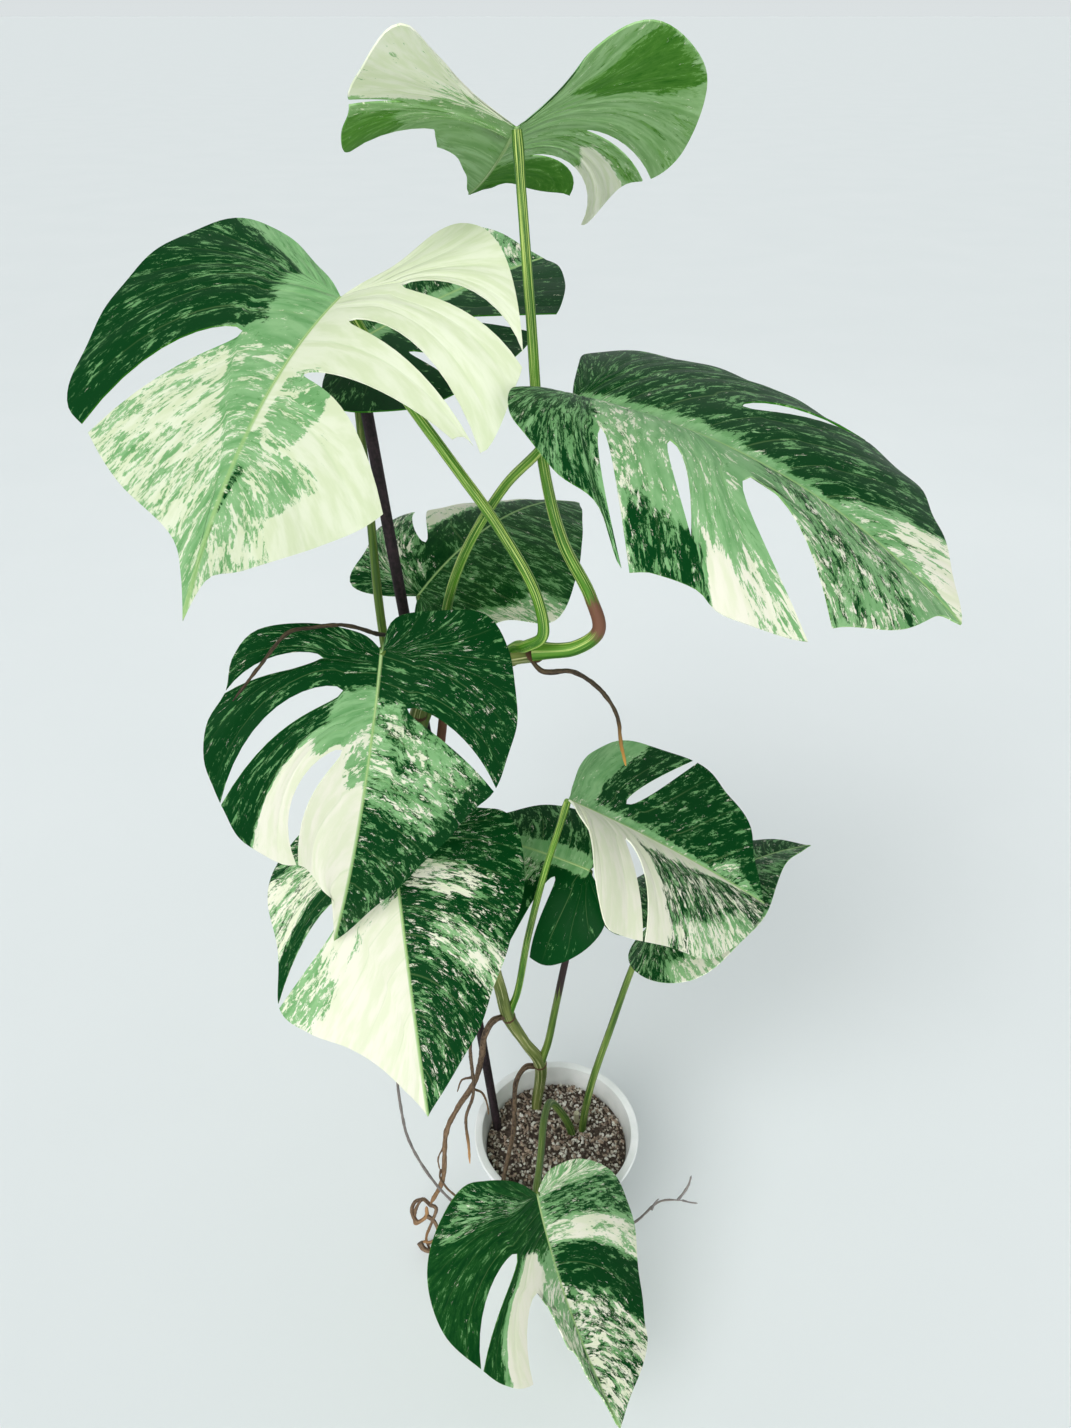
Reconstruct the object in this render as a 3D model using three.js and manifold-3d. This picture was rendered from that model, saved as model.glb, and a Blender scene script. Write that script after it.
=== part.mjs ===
// A potted monstera with white-splashed leaves: a vine that climbs a stake out of a small pot,
// eleven split leaves on long petioles, and the aerial roots that hang from the vine's nodes.
// Lengths are millimetres, angles are degrees, Z is up. The origin is the middle of the pot's
// underside, and the pot stands on z = 0.
import * as THREE from 'three';
import { mergeVertices } from 'three/addons/utils/BufferGeometryUtils.js';
import Module from 'manifold-3d';

const wasm = await Module();
wasm.setup();

// Driving dimensions.
const SEAT_GAP = 0.3;
const SMALLEST_EDGE = 0.06;
const BLADE_THICKNESS = 0.9;
const POT = {
  height: 120, rimRadius: 70, rimDrop: 5, topRadius: 65, baseRadius: 47, wall: 1.4, floor: 2.4, sides: 36,
};
const SOIL = { top: 104, crown: 5, sides: 28 };
const STAKE = { radius: 3.6, sides: 8, steps: 6 };
const PETIOLE = { sides: 6, steps: 14 };
const ROOT = { sides: 5, steps: 14 };

// A blade is ruled by side veins. Between two slits they are about this far apart at the edge.
const VEIN_SPACING = 23;
const CROSS_ROWS = 5;
// A side vein leaves the midrib squarely and sweeps towards its end on the edge.
const VEIN_REACH = 0.55;
const VEIN_SWEEP = 0.12;
// The veins of this first share of the outline all start at the petiole; the others spread out
// along the midrib.
const FAN_SHARE = 0.36;
const FAN_POWER = 1.6;
// Veins start at places this far apart along the midrib, so that both halves can share them.
const START_STEP = 5;
// A half is taken as this share of the length wide when its curl is spread over it.
const HALF_WIDTH = 0.53;

// Each blade lies flat with its midrib on +Y before it is bent: `edge` holds the outline points of
// one half from the back lobe to the tip, as distance from the midrib and distance along it.
// A slit runs along a side vein from `root` on the midrib, by way of `bend`, to the outline
// `at` so many points along. It opens at the share `from` of that way and closes at `to`, if
// given. `gap` is its greatest width, and `mouth` how many outline points it spans at the edge.
// fold lifts a half at the midrib, curl rolls it down towards its edge, and hang lowers it
// towards the tip. arch bends the whole blade down along its midrib.
const LEAVES = {
  top: {
    base: [-27, 36, 866], heading: 12, pitch: -22, roll: 2, length: 172, arch: -10,
    right: {
      fold: 35, curl: 64, hang: 32,
      edge: [[22, 4], [32, -46], [60, -56], [90, -32], [96, 18], [88, 54], [76, 80], [72, 140],
        [54, 118], [32, 134], [10, 126]],
      slits: [
        { root: 30, bend: [58, 30], at: 6.1, from: 0.42, gap: 5, mouth: 0.3 },
        { root: 65, bend: [58, 64], at: 8.5, from: 0.18, gap: 6, mouth: 0.9 },
      ],
    },
    left: {
      fold: 36, curl: 64, hang: 7,
      edge: [[20, 4], [40, -28], [60, -60], [74, -44], [83, -10], [83, 4], [82, 68], [30, 82], [14, 102]],
      slits: [
        { root: 10, bend: [50, 28], at: 5.8, from: 0.62, gap: 2, mouth: 0.3 },
        { root: 35, bend: [34, 34], at: 7.5, from: 0.6, gap: 4, mouth: 0.9 },
      ],
    },
  },
  upper_left: {
    base: [-120, 38, 788], heading: 160, pitch: -12, roll: 9, length: 208, arch: 33,
    right: {
      fold: 21, curl: 4, hang: 17,
      edge: [[24, -22], [66, -45], [92, -36], [109, 10], [108, 68], [102, 104], [84, 119], [56, 144],
        [20, 167], [6, 188]],
      slits: [{ root: 45, bend: [44, 28], at: 6.9, from: 0.36, gap: 16, mouth: 0.3 }],
    },
    left: {
      fold: 13, curl: 31, hang: 64,
      edge: [[18, -14], [46, -41], [66, -40], [92, -15], [112, 27], [113, 46], [108, 77], [92, 78],
        [71, 127], [50, 152], [20, 177], [6, 186]],
      slits: [
        { root: 1, bend: [80, 0], at: 5.2, from: 0.27, gap: 11, mouth: 0.3 },
        { root: 25, bend: [55, 32], at: 7.3, from: 0.18, gap: 9, mouth: 0.3 },
        { root: 70, bend: [36, 64], at: 8.5, from: 0.16, gap: 8, mouth: 0.95 },
      ],
    },
  },
  upper_back: {
    base: [-131, 121, 742], heading: -44, pitch: 14, roll: 17, length: 178, arch: 12,
    right: {
      fold: 13, curl: 9, hang: 4,
      edge: [[8, -26], [28, -46], [48, -50], [76, -32], [90, 3], [88, 50], [77, 82], [66, 116], [44, 150],
        [20, 172]],
      slits: [
        { root: 10, bend: [44, 14], at: 5.5, from: 0.4, gap: 6, mouth: 0.9 },
        { root: 45, bend: [36, 62], at: 7.5, from: 0.4, gap: 6, mouth: 0.9 },
      ],
    },
    left: {
      fold: 12, curl: 28, hang: 0,
      edge: [[8, -16], [22, -20], [32, -6], [34, 30], [42, 80], [56, 125], [58, 160]],
      slits: [],
    },
  },
  right: {
    base: [1, -3, 746], heading: -126, pitch: 5, roll: -6, length: 226, arch: 40,
    right: {
      fold: 28, curl: 61, hang: 17,
      edge: [[26, -4], [56, 2], [82, 22], [100, 58], [104, 84], [120, 110], [114, 122], [106, 141],
        [106, 158], [88, 188], [74, 192], [44, 211], [12, 217]],
      slits: [
        { root: 20, bend: [66, 46], at: 6.2, from: 0.5, gap: 5, mouth: 0.3 },
        { root: 45, bend: [54, 85], at: 8, from: 0.42, to: 0.85, gap: 7, mouth: 0 },
        { root: 85, bend: [40, 112], at: 10.5, from: 0.44, gap: 20, mouth: 0.9 },
      ],
    },
    left: {
      fold: 24, curl: 42, hang: 12,
      edge: [[37, -20], [70, -32], [92, -14], [97, 20], [99, 60], [102, 100], [98, 128], [84, 160],
        [52, 184], [22, 208]],
      slits: [{ root: 60, bend: [45, 72], at: 6.9, from: 0.4, gap: 12, mouth: 0.1 }],
    },
  },
  middle_back: {
    base: [-99, 105, 577], heading: -43, pitch: 34, roll: 4, length: 185, arch: 60,
    right: {
      fold: 13, curl: 28, hang: 16,
      edge: [[20, -23], [54, -27], [72, 10], [99, 33], [79, 82], [44, 131]],
      slits: [],
    },
    left: {
      fold: 18, curl: 38, hang: 35,
      edge: [[21, -12], [50, -16], [64, 14], [84, 50], [84, 76], [78, 110], [48, 145]],
      slits: [{ root: 25, bend: [42, 42], at: 5.3, from: 0.3, gap: 8, mouth: 0.5 }],
    },
  },
  middle_left: {
    base: [-107, -19, 607], heading: 166, pitch: -62, roll: -32, length: 210, arch: 35,
    right: {
      fold: 14, curl: 13, hang: 6,
      edge: [[14, -9], [44, -12], [72, -6], [84, 10], [86, 28], [94, 46], [94, 66], [87, 84], [80, 98],
        [68, 118], [45, 134], [30, 138], [16, 158], [6, 172]],
      slits: [
        { root: 8, bend: [61, 0], at: 5, from: 0.31, gap: 9, mouth: 0.1 },
        { root: 23, bend: [65, 20], at: 8.7, from: 0.17, gap: 13, mouth: 0.1 },
        { root: 50, bend: [54, 72], at: 11.7, from: 0.18, gap: 11, mouth: 0.1 },
      ],
    },
    left: {
      fold: 4, curl: 18, hang: 14,
      edge: [[6, -19], [30, -26], [60, -27], [77, -8], [90, 28], [92, 54], [87, 88], [72, 108],
        [46, 148], [20, 184]],
      slits: [{ root: 27, bend: [48, 38], at: 7, from: 0.2, gap: 9, mouth: 0.1 }],
    },
  },
  lower_left: {
    base: [-115, 0, 450], heading: 191, pitch: -38, roll: 4, length: 190, arch: 28,
    right: {
      fold: 8, curl: 26, hang: 4,
      edge: [[17, -18], [51, -16], [78, 7], [88, 32], [84, 64], [88, 103], [70, 122], [45, 134],
        [24, 153], [8, 175]],
      slits: [{ root: 10, bend: [44, 36], at: 5.95, from: 0.4, gap: 13, mouth: 0.1 }],
    },
    left: {
      fold: 4, curl: 37, hang: 16,
      edge: [[19, -16], [60, -13], [84, -6], [92, 30], [82, 66], [60, 108], [40, 143], [14, 173]],
      slits: [],
    },
  },
  lower_back: {
    base: [22, 36, 385], heading: 62, pitch: 4, roll: -14, length: 110, arch: 20,
    right: {
      fold: 4, curl: 28, hang: 0,
      edge: [[16, -4], [34, 4], [48, 22], [54, 44], [44, 68], [26, 90]],
      slits: [],
    },
    left: {
      fold: 0, curl: 45, hang: 0,
      edge: [[14, -16], [32, -28], [52, -24], [72, -8], [80, 12], [70, 44], [40, 80]],
      slits: [{ root: 20, bend: [36, 24], at: 5.6, from: 0.2, gap: 8, mouth: 0.6 }],
    },
  },
  lower_right: {
    base: [4, 10, 473], heading: -93, pitch: -27, roll: -16, length: 165, arch: 9,
    right: {
      fold: 18, curl: 51, hang: 35,
      edge: [[24, 1], [44, 9], [72, 14], [100, 29], [98, 49], [82, 89], [72, 120], [48, 143], [16, 161]],
      slits: [{ root: 28, bend: [40, 48], at: 5.4, from: 0.3, gap: 9, mouth: 0.05 }],
    },
    left: {
      fold: 17, curl: 10, hang: -37,
      edge: [[18, 5], [40, 7], [64, 17], [86, 35], [89, 62], [82, 98], [66, 116], [48, 137], [24, 147]],
      slits: [{ root: 30, bend: [36, 54], at: 5.75, from: 0.26, gap: 8, mouth: 0.1 }],
    },
  },
  lower_right_back: {
    base: [69, 27, 337], heading: -59, pitch: 29, roll: -25, length: 147, arch: 36,
    right: {
      fold: 13, curl: 36, hang: 0,
      edge: [[10, -27], [47, -29], [77, -8], [81, 25], [69, 68], [31, 106]],
      slits: [],
    },
    left: {
      fold: 12, curl: 30, hang: 7,
      edge: [[16, -21], [48, -24], [75, -7], [80, 25], [67, 66], [38, 112]],
      slits: [],
    },
  },
  bottom: {
    base: [-17, -103, 193], heading: 201, pitch: -57, roll: -30, length: 173, arch: -25,
    right: {
      fold: 10, curl: 32, hang: -22,
      edge: [[19, -20], [45, -34], [64, -36], [89, -17], [104, 11], [105, 43], [92, 72], [81, 90],
        [64, 101], [19, 105], [9, 137], [3, 160]],
      slits: [
        { root: 18, bend: [60, 21], at: 7.05, from: 0.31, gap: 14, mouth: 0.1 },
        { root: 40, bend: [36, 43], at: 9.5, from: 0.5, gap: 12, mouth: 0.95 },
      ],
    },
    left: {
      fold: 12, curl: 26, hang: -6,
      edge: [[11, -11], [26, -11], [49, -4], [80, 22], [90, 57], [78, 87], [58, 126], [50, 143], [19, 161]],
      slits: [],
    },
  },
};

// The vine's axis with its radius at each point; the thicker points are nodes.
const VINE = [
  [-17, 36, 62, 4.4],
  [-17, 35, 105, 4.4],
  [-14, 35, 162, 5.4],
  [-27, 31, 196, 4.4],
  [-40, 26, 234, 5.4],
  [-47, 21, 280, 4.6],
  [-57, 21, 330, 5.4],
  [-70, 24, 400, 5],
  [-86, 30, 470, 6],
  [-96, 35, 525, 5.4],
  [-80, 33, 554, 6.4],
  [-50, 24, 569, 6],
  [-33, 13, 584, 6],
  [-18, -3, 597, 6.6],
];
const VINE_SIDES = 8;
const VINE_STEPS = 40;

// Each petiole: the points of its way up from what carries it, and its radius at foot and top.
// It ends on the underside of its blade.
const PETIOLES = {
  top: {
    way: [[-20, -3, 597], [6, -4, 600], [19, -3, 611], [14, 3, 630], [-3, 8, 664], [-14, 16, 708],
      [-21, 26, 789]],
    radii: [4.8, 2.4],
  },
  upper_left: {
    way: [[-38, 21, 579], [-29, 4, 596], [-23, -12, 606], [-14, -15, 614], [-17, -6, 634], [-38, 6, 671],
      [-65, 16, 708], [-88, 24, 739]],
    radii: [3.8, 2.8],
  },
  upper_back: {
    way: [[-82, 29, 452], [-95, 20, 474], [-108, 26, 530], [-116, 42, 600], [-121, 70, 660], [-128, 104, 716]],
    radii: [3.2, 2.4],
  },
  right: {
    way: [[-86, 30, 478], [-80, 42, 520], [-74, 38, 600], [-60, 32, 645], [-36, 26, 688], [-15, 6, 718],
      [-4, -1, 737]],
    radii: [3.2, 2.6],
  },
  middle_back: {
    way: [[-95, 35, 514], [-84, 48, 540], [-90, 82, 561]],
    radii: [3.2, 2.2],
  },
  middle_left: {
    way: [[-86, 30, 466], [-91, 8, 500], [-100, -4, 550], [-105, -12, 586]],
    radii: [3.4, 2.6],
  },
  lower_left: {
    way: [[-57, 21, 332], [-74, 14, 360], [-96, 12, 400], [-110, 11, 430]],
    radii: [3.4, 2.6],
  },
  lower_back: {
    way: [[-14, 35, 164], [-8, 36, 186], [-2, 36, 230], [6, 36, 290], [14, 36, 340]],
    radii: [3.4, 2.4],
  },
  lower_right: {
    way: [[-40, 26, 238], [-33, 25, 262], [-24, 20, 330], [-12, 15, 400], [-2, 12, 446]],
    radii: [3, 2.2],
  },
  lower_right_back: {
    way: [[23, 12, 60], [23, 12, 106], [29, 15, 160], [44, 21, 230], [57, 25, 290]],
    radii: [3.5, 2.4],
  },
  bottom: {
    way: [[14, 8, 60], [13, 8, 106], [2, 8, 136], [-6, 0, 157], [-11, -24, 170], [-14, -64, 181]],
    radii: [3.6, 2.6],
  },
};

// Aerial roots: their ways from the vine outwards, with a radius at each end.
const ROOTS = {
  root_upper_node: {
    way: [[-22, -4, 594], [-14, -11, 588], [4, -15, 590], [20, -22, 582], [30, -28, 568], [33, -35, 551],
      [36, -39, 539]],
    radii: [1.7, 1],
  },
  root_over_leaf: {
    way: [[-96, 35, 524], [-100, 26, 556], [-106, 19, 592], [-112, -3, 609], [-127, -30, 630], [-142, -37, 632],
      [-152, -46, 634], [-167, -59, 620], [-181, -69, 605]],
    radii: [1.4, 0.9],
  },
  root_long_left: {
    way: [[-40, 26, 236], [-52, 16, 241], [-59, 12, 228], [-62, 8, 206], [-69, 8, 173], [-84, 4, 144],
      [-94, -2, 120], [-99, -15, 69], [-111, -21, 41]],
    radii: [2.8, 2],
  },
  root_over_rim: {
    way: [[-16, 35, 158], [-26, 32, 162], [-34, 23, 156], [-36, 5, 147], [-36, -14, 141], [-40, -34, 136],
      [-44, -54, 132], [-48, -74, 126]],
    radii: [2.4, 1.8],
  },
  root_hanging: {
    way: [[-56, 21, 322], [-66, 8, 290], [-70, 0, 230], [-69, -8, 179], [-75, -17, 161], [-73, -28, 140],
      [-72, -36, 127]],
    radii: [1.8, 1],
  },
  root_long_grey: {
    way: [[-57, 21, 334], [-84, 8, 300], [-112, 24, 240], [-136, 36, 180], [-133, 13, 114], [-126, -1, 100],
      [-102, -30, 86], [-72, -58, 88], [-30, -84, 92], [20, -84, 90], [63, -60, 80], [89, -36, 72],
      [110, -33, 68]],
    radii: [1.4, 0.9],
  },
};

// The stake and the short cut stub, both pushed into the soil.
const STAKE_WAY = [[-48, 13, 68], [-84, 39, 420], [-116, 62, 720]];
const STUB = { way: [[18, 21, 62], [18, 21, 113]], radii: [2.6, 2.4] };

const COLOURS = {
  pot: 0xe9ebe8,
  soil: 0x5a4a3c,
  stake: 0x2e2329,
  vine: 0x6f8a3a,
  petiole: 0x8fae4e,
  blade: 0x2f6b43,
  paleBlade: 0x9dbb85,
  root: 0x4a3430,
  stub: 0xb9b79a,
};

const radians = THREE.MathUtils.degToRad;

function finish(colour, roughness) {
  return new THREE.MeshStandardMaterial({ color: colour, roughness, metalness: 0 });
}

function namedMesh(name, geometry, material) {
  const mesh = new THREE.Mesh(geometry, material);
  mesh.name = name;
  return mesh;
}

function geometryOf(points, triangles) {
  const geometry = new THREE.BufferGeometry();
  geometry.setAttribute('position', new THREE.Float32BufferAttribute(points.flat(), 3));
  geometry.setIndex(triangles.flat());
  return geometry;
}

// A round tube that follows points, with its radius given at each of them.
function tube(way, radii, sides, steps) {
  const stations = way.map((point) => new THREE.Vector3(...point));
  const path = new THREE.CatmullRomCurve3(stations, false, 'centripetal');
  const frames = path.computeFrenetFrames(steps, false);
  const points = [];
  const triangles = [];
  for (let i = 0; i <= steps; i++) {
    const middle = path.getPointAt(i / steps);
    const place = path.getUtoTmapping(i / steps) * (way.length - 1);
    const before = Math.min(Math.floor(place), way.length - 2);
    const radius = THREE.MathUtils.lerp(radii[before], radii[before + 1], place - before);
    for (let j = 0; j < sides; j++) {
      const turn = (2 * Math.PI * j) / sides;
      const point = middle.clone()
        .addScaledVector(frames.normals[i], radius * Math.cos(turn))
        .addScaledVector(frames.binormals[i], radius * Math.sin(turn));
      points.push(point.toArray());
    }
  }
  for (let i = 0; i < steps; i++) {
    for (let j = 0; j < sides; j++) {
      const next = (j + 1) % sides;
      const [a, b, c, d] = [i * sides + j, i * sides + next, (i + 1) * sides + next, (i + 1) * sides + j];
      triangles.push([a, b, c], [a, c, d]);
    }
  }
  const last = steps * sides;
  for (let j = 1; j < sides - 1; j++) {
    triangles.push([0, j + 1, j], [last, last + j, last + j + 1]);
  }
  return geometryOf(points, triangles);
}

// Radii that shrink evenly from the first point to the last.
function taper(way, [first, last]) {
  return way.map((_, i) => THREE.MathUtils.lerp(first, last, i / (way.length - 1)));
}

// A copy with nothing but positions, where corners closer than `reach` are one.
function welded(geometry, reach = 1e-4) {
  const bare = new THREE.BufferGeometry();
  bare.setAttribute('position', geometry.getAttribute('position').clone());
  if (geometry.index) {
    bare.setIndex(geometry.index.clone());
  }
  const merged = mergeVertices(bare, reach);
  const corners = Array.from(merged.index.array);
  const kept = corners.filter((_, i) => {
    const [a, b, c] = corners.slice(i - (i % 3), i - (i % 3) + 3);
    return a !== b && b !== c && c !== a;
  });
  merged.setIndex(kept);
  return merged;
}

function toManifold(geometry) {
  const merged = welded(geometry);
  return new wasm.Manifold(new wasm.Mesh({
    numProp: 3,
    vertProperties: new Float32Array(merged.getAttribute('position').array),
    triVerts: new Uint32Array(merged.index.array),
  }));
}

function fromManifold(solid) {
  const mesh = solid.getMesh();
  const geometry = new THREE.BufferGeometry();
  geometry.setAttribute('position', new THREE.BufferAttribute(new Float32Array(mesh.vertProperties), 3));
  geometry.setIndex(new THREE.BufferAttribute(new Uint32Array(mesh.triVerts), 1));
  return welded(geometry, SMALLEST_EDGE);
}

// The same closed shape, grown outwards on all sides by a small distance.
function grown(geometry, distance) {
  const merged = welded(geometry);
  const position = merged.getAttribute('position');
  const index = merged.index.array;
  const pushes = Array.from({ length: position.count }, () => new THREE.Vector3());
  const corners = [new THREE.Vector3(), new THREE.Vector3(), new THREE.Vector3()];
  const normal = new THREE.Vector3();
  for (let i = 0; i < index.length; i += 3) {
    corners.forEach((corner, k) => corner.fromBufferAttribute(position, index[i + k]));
    THREE.Triangle.getNormal(...corners, normal);
    for (let k = 0; k < 3; k++) {
      pushes[index[i + k]].add(normal);
    }
  }
  pushes.forEach((push, i) => {
    push.normalize().multiplyScalar(distance);
    position.setXYZ(i, position.getX(i) + push.x, position.getY(i) + push.y, position.getZ(i) + push.z);
  });
  return merged;
}

// Cuts a shape back from its neighbours and keeps its largest piece.
function clearOf(geometry, neighbours) {
  let solid = toManifold(geometry);
  for (const neighbour of neighbours) {
    solid = solid.subtract(toManifold(grown(neighbour, 1.6 * SEAT_GAP)));
  }
  const pieces = solid.decompose();
  pieces.sort((a, b) => b.volume() - a.volume());
  return fromManifold(pieces[0]);
}

// How open a slit is at a share of the way along its vein: 0 at its inner end, 1 at its mouth.
function slitProgress(slit, share) {
  const end = slit.to ?? 1;
  return THREE.MathUtils.clamp((share - slit.from) / (end - slit.from), 0, 1);
}

// Half the width of a slit between its two ends, where it is rounded within and narrows outwards.
function slitHalfGap(slit, share) {
  const along = slitProgress(slit, share);
  const widest = Math.sqrt(1 / 3) * (2 / 3);
  return (slit.gap / 2) * (Math.sqrt(along) * (1 - along)) / widest;
}

// Outline places from one to another that are evenly far apart, `count` steps in all.
function evenPlaces(spline, lastPoint, from, to, count) {
  const fine = 8 * count;
  const places = Array.from({ length: fine + 1 }, (_, i) => THREE.MathUtils.lerp(from, to, i / fine));
  const points = places.map((place) => spline.getPoint(place / lastPoint));
  const travelled = [0];
  for (let i = 1; i <= fine; i++) {
    travelled.push(travelled[i - 1] + points[i].distanceTo(points[i - 1]));
  }
  return Array.from({ length: count + 1 }, (_, i) => {
    const wanted = (travelled[fine] * i) / count;
    const after = Math.max(1, travelled.findIndex((length) => length >= wanted - 1e-9));
    const part = (wanted - travelled[after - 1]) / (travelled[after] - travelled[after - 1]);
    return THREE.MathUtils.lerp(places[after - 1], places[after], part);
  });
}

// Where a vein starts on the midrib, from how far round the outline it ends.
function naturalStart(length, outlineShare) {
  const spread = Math.max(0, (outlineShare - FAN_SHARE) / (1 - FAN_SHARE));
  return length * spread ** FAN_POWER;
}

function naturalBend(start, end) {
  return new THREE.Vector2(VEIN_REACH * end.x, start + VEIN_SWEEP * (end.y - start));
}

// Shares of the way from midrib to edge at which a vein is cut into rows; one row falls on each
// end of a slit, and they are closer together where the slit opens.
function rowShares(slit) {
  const { from, to } = slit;
  const opening = THREE.MathUtils.clamp(Math.round(from * CROSS_ROWS), 1, CROSS_ROWS - 1);
  const closing = to ? CROSS_ROWS - 1 : CROSS_ROWS;
  return Array.from({ length: CROSS_ROWS + 1 }, (_, row) => {
    if (row <= opening) {
      return (from * row) / opening;
    }
    if (row > closing) {
      return 1;
    }
    return from + ((to ?? 1) - from) * ((row - opening) / (closing - opening)) ** 1.3;
  });
}

// One half of a blade, flat, as lobes of columns of [x, y] points. Each column follows a side vein
// from midrib to edge, and a slit parts the lobes on its two sides.
function flatLobes(leaf, half, side) {
  const outline = [[0, 0], ...half.edge, [0, leaf.length]].map(([x, y]) => new THREE.Vector2(x, y));
  const spline = new THREE.SplineCurve(outline);
  const lastPoint = outline.length - 1;
  const endAt = (place) => spline.getPoint(place / lastPoint);
  const veinPoint = (start, bend, end, share) => {
    const rest = 1 - share;
    return new THREE.Vector2(
      2 * rest * share * bend.x + share * share * end.x,
      rest * rest * start + 2 * rest * share * bend.y + share * share * end.y,
    );
  };
  const uncut = { from: 0.5, gap: 0, mouth: 0 };
  const borders = [
    { ...uncut, at: 0, root: 0 },
    ...half.slits,
    { ...uncut, at: lastPoint, root: leaf.length },
  ].map((slit) => {
    const end = endAt(slit.at);
    const natural = naturalBend(slit.root, end);
    const bend = slit.bend ? new THREE.Vector2(...slit.bend) : natural;
    return {
      ...slit,
      rows: rowShares(slit),
      startShift: slit.root - naturalStart(leaf.length, slit.at / lastPoint),
      bendShift: bend.clone().sub(natural),
    };
  });
  return borders.slice(1).map((high, lobe) => {
    const low = borders[lobe];
    const [first, last] = [low.at + low.mouth / 2, high.at - high.mouth / 2];
    const rim = Array.from({ length: 21 }, (_, i) => endAt(THREE.MathUtils.lerp(first, last, i / 20)));
    const rimLength = rim.reduce((sum, point, i) => sum + (i ? point.distanceTo(rim[i - 1]) : 0), 0);
    const columns = Math.max(2, Math.round(rimLength / VEIN_SPACING));
    const places = evenPlaces(spline, lastPoint, first, last, columns);
    let start = low.root;
    return places.map((place, column) => {
      const along = (place - first) / (last - first);
      const mix = (a, b) => THREE.MathUtils.lerp(a, b, column / columns);
      const shift = mix(low.startShift, high.startShift);
      const wantedStart = naturalStart(leaf.length, place / lastPoint) + shift;
      const roundStart = START_STEP * Math.round(wantedStart / START_STEP);
      if (column > 0) {
        start = column < columns ? THREE.MathUtils.clamp(roundStart, start, high.root) : high.root;
      }
      return Array.from({ length: CROSS_ROWS + 1 }, (_, row) => {
        const share = mix(low.rows[row], high.rows[row]);
        const lowPlace = low.at + (low.mouth / 2) * slitProgress(low, share);
        const highPlace = high.at - (high.mouth / 2) * slitProgress(high, share);
        const end = endAt(THREE.MathUtils.lerp(lowPlace, highPlace, along));
        const bendShift = low.bendShift.clone().lerp(high.bendShift, column / columns);
        const bend = naturalBend(start, end).add(bendShift);
        const point = veinPoint(start, bend, end, share);
        const ahead = veinPoint(start, bend, end, share + 0.01).sub(point).normalize();
        const push = mix(slitHalfGap(low, share), -slitHalfGap(high, share));
        return [side * Math.max(0, point.x - push * ahead.y), point.y + push * ahead.x];
      });
    });
  });
}

// Triangles of [x, y] corners between the columns of one half. `starts` are the places on the
// midrib where a vein of either half starts.
function flatTriangles(lobes, starts, side) {
  const triangles = [];
  for (const lobe of lobes) {
    for (let column = 0; column < lobe.length - 1; column++) {
      const [near, far] = [lobe[column], lobe[column + 1]];
      const between = starts.filter((y) => y > near[0][1] && y < far[0][1]).map((y) => [0, y]);
      const midrib = [near[0], ...between, far[0]];
      triangles.push([near[0], near[1], far[1]]);
      for (let i = 0; i < midrib.length - 1; i++) {
        triangles.push([midrib[i], far[1], midrib[i + 1]]);
      }
      for (let row = 1; row < CROSS_ROWS; row++) {
        const [a, b, c, d] = [near[row], near[row + 1], far[row + 1], far[row]];
        triangles.push([a, b, c], [a, c, d]);
      }
    }
  }
  return side > 0 ? triangles : triangles.map(([a, b, c]) => [a, c, b]);
}

// Where a point of the flat blade goes when the blade is folded, curled and arched.
function bent(leaf, x, y) {
  const half = x >= 0 ? leaf.right : leaf.left;
  const curl = radians(half.curl) / (HALF_WIDTH * leaf.length);
  const lift = radians(half.fold - (half.hang * y) / leaf.length);
  const slope = lift - curl * Math.abs(x);
  const across = (Math.sin(lift) - Math.sin(slope)) / curl;
  const up = (Math.cos(slope) - Math.cos(lift)) / curl;
  const arch = radians(leaf.arch) / leaf.length;
  const droop = arch * y;
  return new THREE.Vector3(
    Math.sign(x) * across,
    Math.sin(droop) / arch + up * Math.sin(droop),
    (Math.cos(droop) - 1) / arch + up * Math.cos(droop),
  );
}

function bentNormal(leaf, x, y) {
  const step = 0.5;
  const alongX = bent(leaf, x + step, y).sub(bent(leaf, x - step, y));
  const alongY = bent(leaf, x, y + step).sub(bent(leaf, x, y - step));
  return alongX.cross(alongY).normalize();
}

// A blade as one closed body: the same triangles on both faces, and a wall round every edge.
function bladeGeometry(leaf) {
  const [right, left] = [flatLobes(leaf, leaf.right, 1), flatLobes(leaf, leaf.left, -1)];
  const starts = [...right, ...left].flat().map((column) => column[0][1]);
  const sharedStarts = [...new Set(starts)].sort((a, b) => a - b);
  const flat = [...flatTriangles(right, sharedStarts, 1), ...flatTriangles(left, sharedStarts, -1)];
  const places = new Map();
  const corners = [];
  const indexOf = ([x, y]) => {
    const key = `${x.toFixed(2)},${y.toFixed(2)}`;
    if (!places.has(key)) {
      places.set(key, corners.length);
      corners.push([x, y]);
    }
    return places.get(key);
  };
  const faces = flat.map((triangle) => triangle.map(indexOf))
    .filter(([a, b, c]) => a !== b && b !== c && c !== a);
  const points = [];
  for (const side of [0.5, -0.5]) {
    for (const [x, y] of corners) {
      const point = bent(leaf, x, y).addScaledVector(bentNormal(leaf, x, y), side * BLADE_THICKNESS);
      points.push(point.toArray());
    }
  }
  const count = corners.length;
  const triangles = [];
  const edges = new Set(faces.flatMap(([a, b, c]) => [`${a},${b}`, `${b},${c}`, `${c},${a}`]));
  for (const [a, b, c] of faces) {
    triangles.push([a, b, c], [a + count, c + count, b + count]);
    for (const [from, to] of [[a, b], [b, c], [c, a]]) {
      if (!edges.has(`${to},${from}`)) {
        triangles.push([from, from + count, to + count], [from, to + count, to]);
      }
    }
  }
  return geometryOf(points, triangles);
}

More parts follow.
